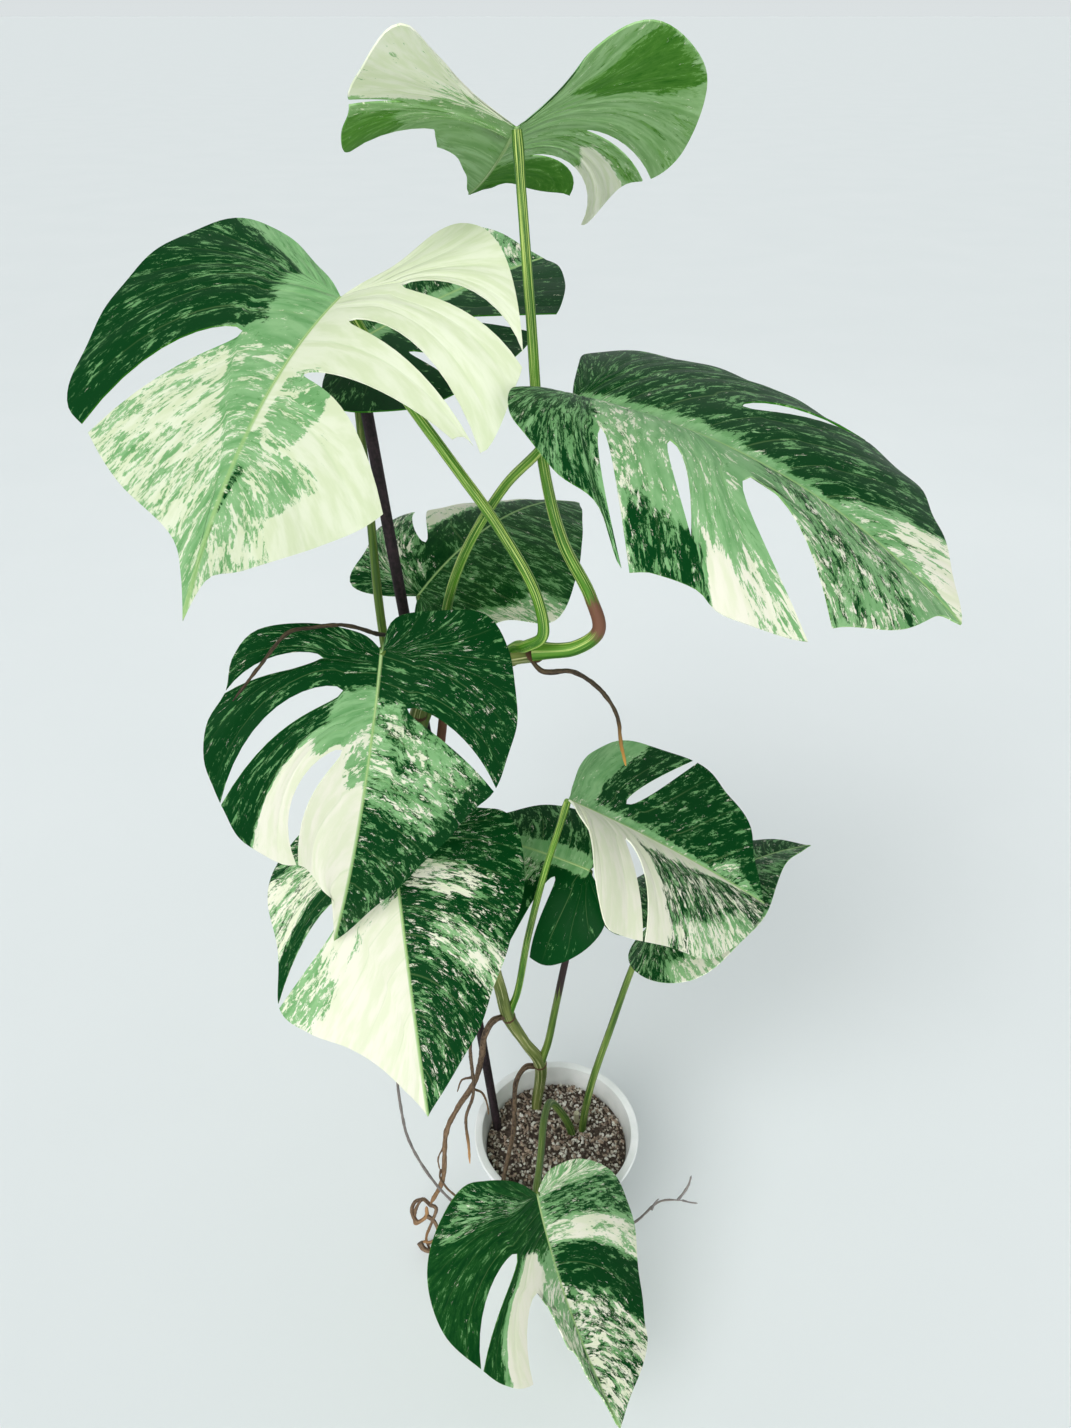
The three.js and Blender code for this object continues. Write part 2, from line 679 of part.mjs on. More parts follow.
function makeBlade(name, leaf) {
  const colour = name === 'upper_left' ? COLOURS.paleBlade : COLOURS.blade;
  const mesh = namedMesh(`blade_${name}`, bladeGeometry(leaf), finish(colour, 0.4));
  mesh.position.set(...leaf.base);
  mesh.rotation.set(radians(leaf.pitch), radians(leaf.roll), radians(leaf.heading), 'ZXY');
  mesh.updateMatrixWorld();
  return mesh;
}

function inPlace(mesh) {
  return mesh.geometry.clone().applyMatrix4(mesh.matrixWorld);
}

// The end of a petiole: just under the blade, where the two back lobes meet.
function seatUnder(blade) {
  const seat = new THREE.Vector3(0, 0, -(BLADE_THICKNESS / 2 + SEAT_GAP));
  return seat.applyMatrix4(blade.matrixWorld).toArray();
}

function makeVine() {
  const way = VINE.map(([x, y, z]) => [x, y, z]);
  const radii = VINE.map((point) => point[3]);
  const geometry = tube(way, radii, VINE_SIDES, VINE_STEPS);
  return namedMesh('vine_stem', geometry, finish(COLOURS.vine, 0.55));
}

function makePetiole(name, blade, vine) {
  const { way, radii } = PETIOLES[name];
  const wholeWay = [...way, seatUnder(blade)];
  const whole = tube(wholeWay, taper(wholeWay, radii), PETIOLE.sides, PETIOLE.steps);
  const geometry = clearOf(whole, [inPlace(vine), inPlace(blade)]);
  return namedMesh(`petiole_${name}`, geometry, finish(COLOURS.petiole, 0.45));
}

function makeRoot(name, vine) {
  const { way, radii } = ROOTS[name];
  const whole = tube(way, taper(way, radii), ROOT.sides, ROOT.steps);
  return namedMesh(name, clearOf(whole, [inPlace(vine)]), finish(COLOURS.root, 0.8));
}

function makeStake() {
  const geometry = tube(STAKE_WAY, STAKE_WAY.map(() => STAKE.radius), STAKE.sides, STAKE.steps);
  return namedMesh('stake', geometry, finish(COLOURS.stake, 0.5));
}

function makeStub() {
  return namedMesh('stub', tube(STUB.way, STUB.radii, PETIOLE.sides, 1), finish(COLOURS.stub, 0.7));
}

// Inside radius of the pot at a height.
function potInside(z) {
  return THREE.MathUtils.lerp(POT.baseRadius, POT.topRadius, z / POT.height) - POT.wall;
}

function makePot() {
  const rimFoot = POT.height - POT.rimDrop;
  const wallAtRim = potInside(rimFoot) + POT.wall;
  const profile = [
    [0, 0],
    [POT.baseRadius, 0],
    [wallAtRim, rimFoot],
    [POT.rimRadius, rimFoot + POT.wall],
    [POT.rimRadius, POT.height],
    [potInside(POT.height), POT.height],
    [potInside(POT.floor), POT.floor],
    [0, POT.floor],
  ];
  const geometry = new THREE.LatheGeometry(profile.map(([r, z]) => new THREE.Vector2(r, z)), POT.sides);
  geometry.rotateX(Math.PI / 2);
  return namedMesh('pot', geometry, finish(COLOURS.pot, 0.35));
}

function makeSoil(standing) {
  const foot = POT.floor + SEAT_GAP;
  const clearance = 2 * SEAT_GAP;
  const shoulder = SOIL.top - SOIL.crown;
  const profile = [
    [0, foot],
    [potInside(foot) - clearance, foot],
    [potInside(shoulder) - clearance, shoulder],
    [0.6 * potInside(SOIL.top), SOIL.top],
    [0, SOIL.top],
  ];
  const geometry = new THREE.LatheGeometry(profile.map(([r, z]) => new THREE.Vector2(r, z)), SOIL.sides);
  geometry.rotateX(Math.PI / 2);
  return namedMesh('soil', clearOf(geometry, standing.map(inPlace)), finish(COLOURS.soil, 0.95));
}

const plant = new THREE.Group();
const vine = makeVine();
const stake = makeStake();
const stub = makeStub();
const blades = Object.entries(LEAVES).map(([name, leaf]) => makeBlade(name, leaf));
const petioles = Object.keys(LEAVES).map((name, i) => makePetiole(name, blades[i], vine));
const roots = Object.keys(ROOTS).map((name) => makeRoot(name, vine));
const soil = makeSoil([vine, stake, stub, ...petioles]);
plant.add(makePot(), soil, stake, vine, stub, ...petioles, ...blades, ...roots);

export default plant;
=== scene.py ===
# %% [markdown]
# # A potted monstera with white-splashed leaves
#
# The plant is a vine that climbs a thin stake out of a nursery pot. Its eleven leaves are split and
# marbled in dark green, sage and cream. The solids of every piece are already there at their real
# size, so this lesson gives each of them a fine surface and a finish.

import math

import bpy
import numpy as np
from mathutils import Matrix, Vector, noise


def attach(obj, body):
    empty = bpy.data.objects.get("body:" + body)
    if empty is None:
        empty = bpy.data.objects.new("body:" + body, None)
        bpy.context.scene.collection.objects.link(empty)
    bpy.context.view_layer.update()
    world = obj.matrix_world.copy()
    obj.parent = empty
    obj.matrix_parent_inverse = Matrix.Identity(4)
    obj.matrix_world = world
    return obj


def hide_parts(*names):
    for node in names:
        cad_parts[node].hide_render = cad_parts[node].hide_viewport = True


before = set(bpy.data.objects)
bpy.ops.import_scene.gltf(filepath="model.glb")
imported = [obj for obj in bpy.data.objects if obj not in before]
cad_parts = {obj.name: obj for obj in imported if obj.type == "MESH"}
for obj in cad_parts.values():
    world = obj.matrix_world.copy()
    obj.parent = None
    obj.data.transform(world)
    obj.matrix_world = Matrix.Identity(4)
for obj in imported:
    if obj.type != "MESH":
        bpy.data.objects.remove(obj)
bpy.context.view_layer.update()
MM = 0.001

# %% [markdown]
# ## The view
#
# A camera can be aimed by eye or worked out from the picture. Here the eye stands a little above
# the top leaf and looks down at 34 degrees, and the lens follows from the focal length in pixels,
# so that the leaves fall close to where the picture has them.

# %% Camera
EYE = Vector((-18, -536, 914)) * MM
LOOK_DOWN = math.radians(34.2)
FOCAL_LENGTH_PX = 1040
IMAGE_HEIGHT_PX = 1428
SENSOR = 36


def show(name, data):
    """A new object in the scene, at the origin."""
    item = bpy.data.objects.new(name, data)
    bpy.context.scene.collection.objects.link(item)
    return item


camera_data = bpy.data.cameras.new("camera")
camera_data.sensor_width = SENSOR
camera_data.lens = SENSOR * FOCAL_LENGTH_PX / IMAGE_HEIGHT_PX
camera = show("camera", camera_data)
camera.location = EYE
camera.rotation_euler = (math.radians(90) - LOOK_DOWN, 0, 0)
bpy.context.scene.camera = camera
bpy.context.scene.view_settings.view_transform = "Standard"

# %% [markdown]
# ## Light
#
# Leaves show their marbling best in light from all sides, with hardly a shadow. A bright sky,
# brighter towards the horizon, gives half of that. A wide soft lamp at the upper left, as from a
# large window, shapes the leaves, a second one low in front opens their undersides, and a panel
# behind lights the far edges.

# %% Sky and lamps
SKY_COLOUR = (0.93, 0.985, 1.0, 1)
HORIZON_STRENGTH = 0.76
SKY_STRENGTH = 0.5
FADE_HEIGHT = 0.35

sky = bpy.data.worlds.new("sky")
sky.use_nodes = True
sky_nodes, sky_links = sky.node_tree.nodes, sky.node_tree.links
sky_nodes["Background"].inputs["Color"].default_value = SKY_COLOUR
look_up = sky_nodes.new("ShaderNodeSeparateXYZ")
fading = sky_nodes.new("ShaderNodeMapRange")
fading.inputs["From Max"].default_value = FADE_HEIGHT
fading.inputs["To Min"].default_value = HORIZON_STRENGTH
fading.inputs["To Max"].default_value = SKY_STRENGTH
sky_links.new(sky_nodes.new("ShaderNodeTexCoord").outputs["Generated"], look_up.inputs["Vector"])
sky_links.new(look_up.outputs["Z"], fading.inputs["Value"])
sky_links.new(fading.outputs["Result"], sky_nodes["Background"].inputs["Strength"])
bpy.context.scene.world = sky


def soft_lamp(name, kind, place, aim, power):
    """A lamp at a place, turned towards a point."""
    lamp = bpy.data.lights.new(name, kind)
    lamp.energy = power
    holder = show(name, lamp)
    holder.location = place
    holder.rotation_euler = (Vector(aim) - Vector(place)).to_track_quat("-Z", "Y").to_euler()
    return lamp


soft_lamp("window", "SUN", (-0.9, -1.4, 1.9), (0, 0, 0.3), 1.75).angle = math.radians(40)
soft_lamp("low_front", "SUN", (0.3, -2, 0.55), (0, 0, 0.35), 1.3).angle = math.radians(30)
soft_lamp("back_panel", "AREA", (0.2, 1.6, 1.9), (0, 0, 0.5), 3).size = 1.4

# %% [markdown]
# ## Arithmetic on shader sockets
#
# Node graphs are sums in disguise. A small class wraps a socket, so that `1 - mask` or
# `mask * depth` adds the Math node for it, and one method adds any other node by its type. The
# same classes serve materials and Geometry Nodes.

# %% A finish that is written as sums


class Signal:
    """The output of a node, with which sums can be written."""

    def __init__(self, nodes, socket):
        self.nodes = nodes
        self.socket = socket

    def out(self, name):
        """Another output of the same node."""
        return Signal(self.nodes, self.socket.node.outputs[name])

    def _sum(self, operation, *values):
        return self.nodes.add("ShaderNodeMath", {"operation": operation}, dict(enumerate(values)))

    def __add__(self, other):
        return self._sum("ADD", self, other)

    __radd__ = __add__

    def __sub__(self, other):
        return self._sum("SUBTRACT", self, other)

    def __rsub__(self, other):
        return self._sum("SUBTRACT", other, self)

    def __mul__(self, other):
        return self._sum("MULTIPLY", self, other)

    __rmul__ = __mul__

    def __abs__(self):
        return self._sum("ABSOLUTE", self)

    def fraction(self):
        return self._sum("FRACT", self)

    def rise(self, low, high):
        """0 below low, 1 above high, and smooth between them."""
        return self.nodes.add(
            "ShaderNodeMapRange",
            {"interpolation_type": "SMOOTHSTEP"},
            {"Value": self, "From Min": low, "From Max": high},
        )


class Nodes:
    """A node tree, whose nodes are added by type, settings and the values of their sockets."""

    def __init__(self, tree):
        self.tree = tree

    def add(self, kind, settings=None, values=None, output=0):
        node = self.tree.nodes.new(kind)
        for name, value in (settings or {}).items():
            if name == "captures":
                for item in value:
                    node.capture_items.new(*item)
            else:
                setattr(node, name, value)
        for name, value in (values or {}).items():
            if isinstance(value, Signal):
                self.tree.links.new(value.socket, node.inputs[name])
            else:
                node.inputs[name].default_value = value
        return Signal(self, node.outputs[output]) if len(node.outputs) else None

    def parts(self, vector):
        """The three numbers of a vector."""
        split = self.add("ShaderNodeSeparateXYZ", values={"Vector": vector})
        return [split.out(axis) for axis in "XYZ"]

    def vector(self, x, y, z):
        return self.add("ShaderNodeCombineXYZ", values={"X": x, "Y": y, "Z": z})


class Finish(Nodes):
    """A material with one Principled shader."""

    def __init__(self, name, **fixed):
        self.material = bpy.data.materials.new(name)
        self.material.use_nodes = True
        super().__init__(self.material.node_tree)
        self.shader = self.tree.nodes["Principled BSDF"]
        for socket, value in fixed.items():
            self.shader.inputs[socket.replace("_", " ")].default_value = value

    def attribute(self, name, output="Vector"):
        return self.add("ShaderNodeAttribute", {"attribute_name": name}, output=output)

    def place(self):
        return self.add("ShaderNodeTexCoord", output="Object")

    def clouds(self, vector, scale, detail=3, roughness=0.55, distortion=0):
        values = dict(Vector=vector, Scale=scale, Detail=detail)
        values |= dict(Roughness=roughness, Distortion=distortion)
        return self.add("ShaderNodeTexNoise", values=values)

    def blend(self, share, below, above):
        """One colour over another, by a share from 0 to 1."""
        values = {"Factor": share, 6: colour(below), 7: colour(above)}
        return self.add("ShaderNodeMix", {"data_type": "RGBA"}, values, output=2)

    def set(self, socket, value):
        self.tree.links.new(value.socket, self.shader.inputs[socket])

    def bump(self, height, distance, strength=1):
        values = dict(Height=height, Distance=distance, Strength=strength)
        self.set("Normal", self.add("ShaderNodeBump", values=values))


def colour(value):
    """A Signal as it is, or 0 to 255 screen values as linear light."""
    if isinstance(value, Signal):
        return value
    shares = [channel / 255 for channel in value]
    return (*[s / 12.92 if s <= 0.04045 else ((s + 0.055) / 1.055) ** 2.4 for s in shares], 1)

# %% [markdown]
# ## How a split leaf is drawn
#
# A monstera blade is ruled by side veins that leave the midrib and sweep out to the edge, and
# every slit runs between two of them. So each half is drawn flat as a fan of veins, the slits part
# the fan into lobes, and only then is the sheet folded, curled and arched. All numbers are
# millimetres and degrees, the same as in the solids.

# %% The eleven blades


def slit(root, bend, at, begin, gap, mouth, to=1):
    """A gap along a vein: its way, the outline point it meets, where it opens, and its width."""
    return dict(root=root, bend=bend, at=at, begin=begin, gap=gap, mouth=mouth, to=to)


def half_blade(fold, curl, hang, edge, slits=()):
    return dict(fold=fold, curl=curl, hang=hang, edge=edge, slits=slits)


LEAVES = {
    "top": dict(
        base=(-27, 36, 866), heading=12, pitch=-22, roll=2, length=172, arch=-10,
        right=half_blade(35, 64, 32, [
            (22, 4), (32, -46), (60, -56), (90, -32), (96, 18), (88, 54), (76, 80), (72, 140),
            (54, 118), (32, 134), (10, 126),
        ], [
            slit(30, (58, 30), 6.1, 0.42, 5, 0.3), slit(65, (58, 64), 8.5, 0.18, 6, 0.9),
        ]),
        left=half_blade(36, 64, 7, [
            (20, 4), (40, -28), (60, -60), (74, -44), (83, -10), (83, 4), (82, 68), (30, 82),
            (14, 102),
        ], [
            slit(10, (50, 28), 5.8, 0.62, 2, 0.3), slit(35, (34, 34), 7.5, 0.6, 4, 0.9),
        ]),
    ),
    "upper_left": dict(
        base=(-120, 38, 788), heading=160, pitch=-12, roll=9, length=208, arch=33,
        right=half_blade(21, 4, 17, [
            (24, -22), (66, -45), (92, -36), (109, 10), (108, 68), (102, 104), (84, 119),
            (56, 144), (20, 167), (6, 188),
        ], [
            slit(45, (44, 28), 6.9, 0.36, 16, 0.3),
        ]),
        left=half_blade(13, 31, 64, [
            (18, -14), (46, -41), (66, -40), (92, -15), (112, 27), (113, 46), (108, 77), (92, 78),
            (71, 127), (50, 152), (20, 177), (6, 186),
        ], [
            slit(1, (80, 0), 5.2, 0.27, 11, 0.3), slit(25, (55, 32), 7.3, 0.18, 9, 0.3),
            slit(70, (36, 64), 8.5, 0.16, 8, 0.95),
        ]),
    ),
    "upper_back": dict(
        base=(-131, 121, 742), heading=-44, pitch=14, roll=17, length=178, arch=12,
        right=half_blade(13, 9, 4, [
            (8, -26), (28, -46), (48, -50), (76, -32), (90, 3), (88, 50), (77, 82), (66, 116),
            (44, 150), (20, 172),
        ], [
            slit(10, (44, 14), 5.5, 0.4, 6, 0.9), slit(45, (36, 62), 7.5, 0.4, 6, 0.9),
        ]),
        left=half_blade(12, 28, 0, [
            (8, -16), (22, -20), (32, -6), (34, 30), (42, 80), (56, 125), (58, 160),
        ]),
    ),
    "right": dict(
        base=(1, -3, 746), heading=-126, pitch=5, roll=-6, length=226, arch=40,
        right=half_blade(28, 61, 17, [
            (26, -4), (56, 2), (82, 22), (100, 58), (104, 84), (120, 110), (114, 122), (106, 141),
            (106, 158), (88, 188), (74, 192), (44, 211), (12, 217),
        ], [
            slit(20, (66, 46), 6.2, 0.5, 5, 0.3), slit(45, (54, 85), 8, 0.42, 7, 0, to=0.85),
            slit(85, (40, 112), 10.5, 0.44, 20, 0.9),
        ]),
        left=half_blade(24, 42, 12, [
            (37, -20), (70, -32), (92, -14), (97, 20), (99, 60), (102, 100), (98, 128), (84, 160),
            (52, 184), (22, 208),
        ], [
            slit(60, (45, 72), 6.9, 0.4, 12, 0.1),
        ]),
    ),
    "middle_back": dict(
        base=(-99, 105, 577), heading=-43, pitch=34, roll=4, length=185, arch=60,
        right=half_blade(13, 28, 16, [
            (20, -23), (54, -27), (72, 10), (99, 33), (79, 82), (44, 131),
        ]),
        left=half_blade(18, 38, 35, [
            (21, -12), (50, -16), (64, 14), (84, 50), (84, 76), (78, 110), (48, 145),
        ], [
            slit(25, (42, 42), 5.3, 0.3, 8, 0.5),
        ]),
    ),
    "middle_left": dict(
        base=(-107, -19, 607), heading=166, pitch=-62, roll=-32, length=210, arch=35,
        right=half_blade(14, 13, 6, [
            (14, -9), (44, -12), (72, -6), (84, 10), (86, 28), (94, 46), (94, 66), (87, 84),
            (80, 98), (68, 118), (45, 134), (30, 138), (16, 158), (6, 172),
        ], [
            slit(8, (61, 0), 5, 0.31, 9, 0.1), slit(23, (65, 20), 8.7, 0.17, 13, 0.1),
            slit(50, (54, 72), 11.7, 0.18, 11, 0.1),
        ]),
        left=half_blade(4, 18, 14, [
            (6, -19), (30, -26), (60, -27), (77, -8), (90, 28), (92, 54), (87, 88), (72, 108),
            (46, 148), (20, 184),
        ], [
            slit(27, (48, 38), 7, 0.2, 9, 0.1),
        ]),
    ),
    "lower_left": dict(
        base=(-115, 0, 450), heading=191, pitch=-38, roll=4, length=190, arch=28,
        right=half_blade(8, 26, 4, [
            (17, -18), (51, -16), (78, 7), (88, 32), (84, 64), (88, 103), (70, 122), (45, 134),
            (24, 153), (8, 175),
        ], [
            slit(10, (44, 36), 5.95, 0.4, 13, 0.1),
        ]),
        left=half_blade(4, 37, 16, [
            (19, -16), (60, -13), (84, -6), (92, 30), (82, 66), (60, 108), (40, 143), (14, 173),
        ]),
    ),
    "lower_back": dict(
        base=(22, 36, 385), heading=62, pitch=4, roll=-14, length=110, arch=20,
        right=half_blade(4, 28, 0, [
            (16, -4), (34, 4), (48, 22), (54, 44), (44, 68), (26, 90),
        ]),
        left=half_blade(0, 45, 0, [
            (14, -16), (32, -28), (52, -24), (72, -8), (80, 12), (70, 44), (40, 80),
        ], [
            slit(20, (36, 24), 5.6, 0.2, 8, 0.6),
        ]),
    ),
    "lower_right": dict(
        base=(4, 10, 473), heading=-93, pitch=-27, roll=-16, length=165, arch=9,
        right=half_blade(18, 51, 35, [
            (24, 1), (44, 9), (72, 14), (100, 29), (98, 49), (82, 89), (72, 120), (48, 143),
            (16, 161),
        ], [
            slit(28, (40, 48), 5.4, 0.3, 9, 0.05),
        ]),
        left=half_blade(17, 10, -37, [
            (18, 5), (40, 7), (64, 17), (86, 35), (89, 62), (82, 98), (66, 116), (48, 137),
            (24, 147),
        ], [
            slit(30, (36, 54), 5.75, 0.26, 8, 0.1),
        ]),
    ),
    "lower_right_back": dict(
        base=(69, 27, 337), heading=-59, pitch=29, roll=-25, length=147, arch=36,
        right=half_blade(13, 36, 0, [
            (10, -27), (47, -29), (77, -8), (81, 25), (69, 68), (31, 106),
        ]),
        left=half_blade(12, 30, 7, [
            (16, -21), (48, -24), (75, -7), (80, 25), (67, 66), (38, 112),
        ]),
    ),
    "bottom": dict(
        base=(-17, -103, 193), heading=201, pitch=-57, roll=-30, length=173, arch=-25,
        right=half_blade(10, 32, -22, [
            (19, -20), (45, -34), (64, -36), (89, -17), (104, 11), (105, 43), (92, 72), (81, 90),
            (64, 101), (19, 105), (9, 137), (3, 160),
        ], [
            slit(18, (60, 21), 7.05, 0.31, 14, 0.1), slit(40, (36, 43), 9.5, 0.5, 12, 0.95),
        ]),
        left=half_blade(12, 26, -6, [
            (11, -11), (26, -11), (49, -4), (80, 22), (90, 57), (78, 87), (58, 126), (50, 143),
            (19, 161),
        ]),
    ),
}

# %% [markdown]
# ## Where the white goes
#
# The white of this plant comes in sectors: a whole run of cells along the side veins has no green.
# Each half therefore lists its sectors: from one outline point to another, from one share
# of the way out to another, and how much cream, sage and bright green there is.

# %% Sectors of colour
# Each half has a ground of cream, sage and bright green, then its sectors. A sector has outline
# points from and to, shares of the way out from and to, then its cream, sage and bright green.
# On two halves the ground is partly painted light.
SECTORS = {
    "top": dict(
        right=((0.16, 0.64, 0.6), [
            (3.1, 4.2, 0.42, 0.97, 0, 0.08, 0.5), (6.4, 7, 0.3, 1, 0.25, 0.45, 0.6),
            (6.9, 8.6, 0.5, 1.1, 0.85, 0.5, 0.6), (8.6, 12, 0, 1.1, 0, 0.12, 0.45),
        ]),
        left=((0.3, 0.6, 0.6), [
            (1.5, 5.5, 0.45, 1.1, 0.68, 0.75, 0.6), (1.5, 5, -0.1, 0.45, 0.5, 0.8, 0.6),
            (6.2, 7.3, 0.65, 1.1, 0.1, 0.2, 0.7), (7.3, 10.5, -0.1, 1.1, 0.14, 0.75, 0.6),
        ]),
    ),
    "upper_left": dict(
        right=((0, 0.22, 0.08), [
            (-0.5, 2.7, -0.1, 1.1, 0.05, 0.62, 0.4), (2.7, 6.9, -0.1, 0.28, 0.15, 0.85, 0.6),
            (3, 5, 0.35, 0.62, 0.05, 0.36, 0.1), (6.9, 9.3, -0.1, 0.4, 0.38, 0.9, 0.8),
            (6.9, 9.3, 0.4, 1.1, 0.52, 0.8, 0.8), (9.3, 12, -0.1, 1.1, 0.38, 0.8, 0.8),
        ]),
        left=((1.3, 0.5, 0.8), [
            (8.4, 9.6, 0.05, 0.45, 0.35, 0.85, 0.7), (8.5, 9.6, 0.45, 0.85, 0.7, 0.4, 0.6),
            (9.6, 14, -0.1, 0.78, 0.42, 0.8, 0.7), (10.6, 14, 0.7, 1.1, 0.5, 0.8, 0.7),
            (10.4, 12.6, 0.02, 0.2, 0.3, 0.4, 0.1),
        ]),
    ),
    "upper_back": dict(
        right=((0.03, 0.12, 0.1), [
            (-1, 12, -0.1, 0.1, 0.2, 0.7, 0.6),
        ]),
        left=((0.2, 0.3, 0.15), [
            (5.8, 9, 0.3, 1.1, 0.4, 0.5, 0.4), (-1, 9, -0.1, 0.1, 0.2, 0.7, 0.6),
        ]),
    ),
    "right": dict(
        right=((0.15, 0.4, 0.1), [
            (-1, 4.6, -0.1, 0.3, 0.38, 0.5, 0.2), (6.1, 7.3, -0.1, 1.1, 0.42, 0.6, 0.4),
            (6.4, 8.1, 0.8, 1.1, 0.2, 0.25, 0.1), (7.3, 10.6, -0.1, 0.82, 0.3, 0.85, 0.7),
            (8.7, 10.6, 0.8, 1.1, 0.5, 0.9, 0.7), (8.75, 9.3, 0.86, 1.1, 1.2, 0.9, 0.7),
            (10.6, 14.5, -0.1, 1.1, 0.36, 0.47, 0.25), (12.4, 14.5, 0.5, 1.1, 0.3, 0.75, 0.6),
        ]),
        left=((0.07, 0.26, 0.08), [
            (-1, 11, -0.1, 0.09, 0.25, 0.7, 0.6), (9.2, 11.5, 0.1, 0.8, 0.35, 0.6, 0.5),
            (9.4, 11.5, 0.5, 1.1, 0.55, 0.6, 0.5),
        ]),
    ),
    "middle_back": dict(
        # This half's ground is lighter partly for its light flecks and cream, and partly as painted
        # light on a blade in shade.
        right=((0.1, 0.3, 0.35), [
            (2.7, 4.3, 0.72, 1.1, 0.5, 0.75, 0.6),
        ]),
        left=((0.2, 0.3, 0.15), [
            (2.4, 5.3, 0.1, 1.1, 0.36, 0.4, 0.3), (5.3, 7.4, 0.42, 1.1, 0.62, 0.9, 0.6),
            (5.3, 8.5, -0.1, 0.42, 0.05, 0.25, 0.3),
        ]),
    ),
    "middle_left": dict(
        right=((0.15, 0.2, 0.05), [
            (5, 8.7, -0.1, 1.1, 0.1, 0.16, 0.05), (8.7, 11.8, -0.1, 0.42, 0.2, 0.7, 0.5),
            (10.3, 11.8, 0.36, 1.1, 0.8, 0.85, 0.6), (8.7, 10.2, 0.25, 1.1, 0.08, 0.2, 0.05),
            (11.7, 16, 0, 1.1, 1.4, 0.8, 0.8), (11.7, 12.5, -0.1, 0.2, 0.3, 0.9, 0.7),
        ]),
        left=((0.17, 0.2, 0.05), [
            (7, 8.7, -0.1, 0.85, 0.36, 0.5, 0.3), (8.7, 12, -0.1, 1.1, 0.2, 0.26, 0.05),
        ]),
    ),
    "lower_left": dict(
        right=((0.3, 0.4, 0.1), [
            (3.6, 5.3, 0.2, 1.1, 0.5, 0.5, 0.2), (5.3, 5.95, 0.1, 1.1, 0.06, 0.15, 0),
            (5.95, 7.3, 0.15, 0.75, 0.62, 0.85, 0.6), (5.95, 7, 0.7, 1.1, 0.44, 0.9, 0.7),
            (7.1, 8, -0.1, 1.1, 0.85, 0.8, 0.7), (7.9, 12, -0.1, 1.1, 1.4, 0.8, 0.7),
        ]),
        left=((0.29, 0.26, 0.06), [
            (2.8, 4.4, 0.1, 1.1, 0.2, 0.26, 0.05), (4.4, 5.2, 0.1, 0.6, 0.5, 0.4, 0.1),
            (5.6, 6.3, 0.3, 1.1, 0.45, 0.5, 0.2),
        ]),
    ),
    "lower_back": dict(
        right=((0.08, 0.3, 0.1), [
            (-1, 8, -0.1, 0.2, 0.2, 0.75, 0.5),
        ]),
        left=((0, 0.02, 0), [
            (5.7, 7.4, 0, 0.4, 0.4, 0.5, 0.2), (-1, 9, -0.1, 0.1, 0.2, 0.75, 0.5),
        ]),
    ),
    "lower_right": dict(
        right=((0.4, 0.34, 0.1), [
            (-1, 5.4, -0.1, 1.1, 1.2, 0.7, 0.6), (5.4, 5.85, 0, 1.1, 0.95, 0.6, 0.5),
            (5.4, 10, -0.1, 0.22, 0.72, 0.7, 0.5), (6.5, 8.6, 0.8, 1.1, 0.45, 0.7, 0.5),
        ]),
        left=((0.12, 0.24, 0.1), [
            (-1, 4.9, -0.1, 1.1, 0.14, 0.88, 0.7), (-1, 11, -0.1, 0.1, 0.3, 0.8, 0.6),
            (8.6, 11, 0, 0.6, 0.35, 0.5, 0.3),
        ]),
    ),
    "lower_right_back": dict(
        right=((0.25, 0.35, 0.15), [
            (2.6, 5, 0.75, 1.1, 0.45, 0.75, 0.6),
        ]),
        left=((0.2, 0.3, 0.1), [
            
        ]),
    ),
    "bottom": dict(
        # The bright green of this half's ground is partly painted sheen, where the sloping blade
        # shines.
        right=((0.03, 0.1, 0.28), [
            (2.4, 4.5, 0.1, 0.95, 0.24, 0.38, 0.15), (7.9, 8.45, 0.3, 1.1, 0.2, 0.75, 0.4),
            (8.35, 9.6, 0.25, 1.1, 1.1, 0.8, 0.5), (9.5, 10.6, -0.1, 1.1, 0.45, 0.9, 0.8),
            (10.6, 13, -0.1, 1.1, 0.4, 0.5, 0.2),
        ]),
        left=((0.45, 0.6, 0.3), [
            (-1, 4.1, -0.1, 1.1, 0.44, 0.58, 0.4), (4.1, 5.4, 0.05, 1.1, 0.18, 0.4, 0.2),
            (5.4, 6.15, 0.1, 1.1, 0.55, 0.9, 0.5), (6.15, 7.25, 0.03, 1.1, 0.1, 0.18, 0.05),
            (7.25, 10.5, -0.1, 1.1, 0.46, 0.4, 0.2),
        ]),
    ),
}

# %% Sector values at a place on a half
SECTOR_SOFT_PLACE = 0.22
SECTOR_SOFT_SHARE = 0.1


def soft_step(value, edge, width):
    t = np.clip((value - edge) / width + 0.5, 0, 1)
    return t * t * (3 - 2 * t)


def sector_values(name, half_name, places, shares):
    """Cream, sage and bright green at outline places and shares of the way to the edge; the
    ground of two halves is partly painted light.
    """
    ground, sectors = SECTORS[name][half_name]
    values = np.tile(np.array(ground, float), (len(places), 1))
    for low, high, inner, outer, *amounts in sectors:
        weight = soft_step(places, low, SECTOR_SOFT_PLACE)
        weight *= soft_step(-places, -high, SECTOR_SOFT_PLACE)
        weight *= soft_step(shares, inner, SECTOR_SOFT_SHARE)
        weight *= soft_step(-shares, -outer, SECTOR_SOFT_SHARE)
        values += weight[:, None] * (np.array(amounts, float) - values)
    return values

# %% [markdown]
# ## The flat half blade
#
# The outline is a smooth curve through its points. A vein is a bow from its start on the midrib by
# way of a bend to its end on the outline. Between two borders, which are slits or the two ends of
# the midrib, start, bend and end shift evenly from one border's to the other's.

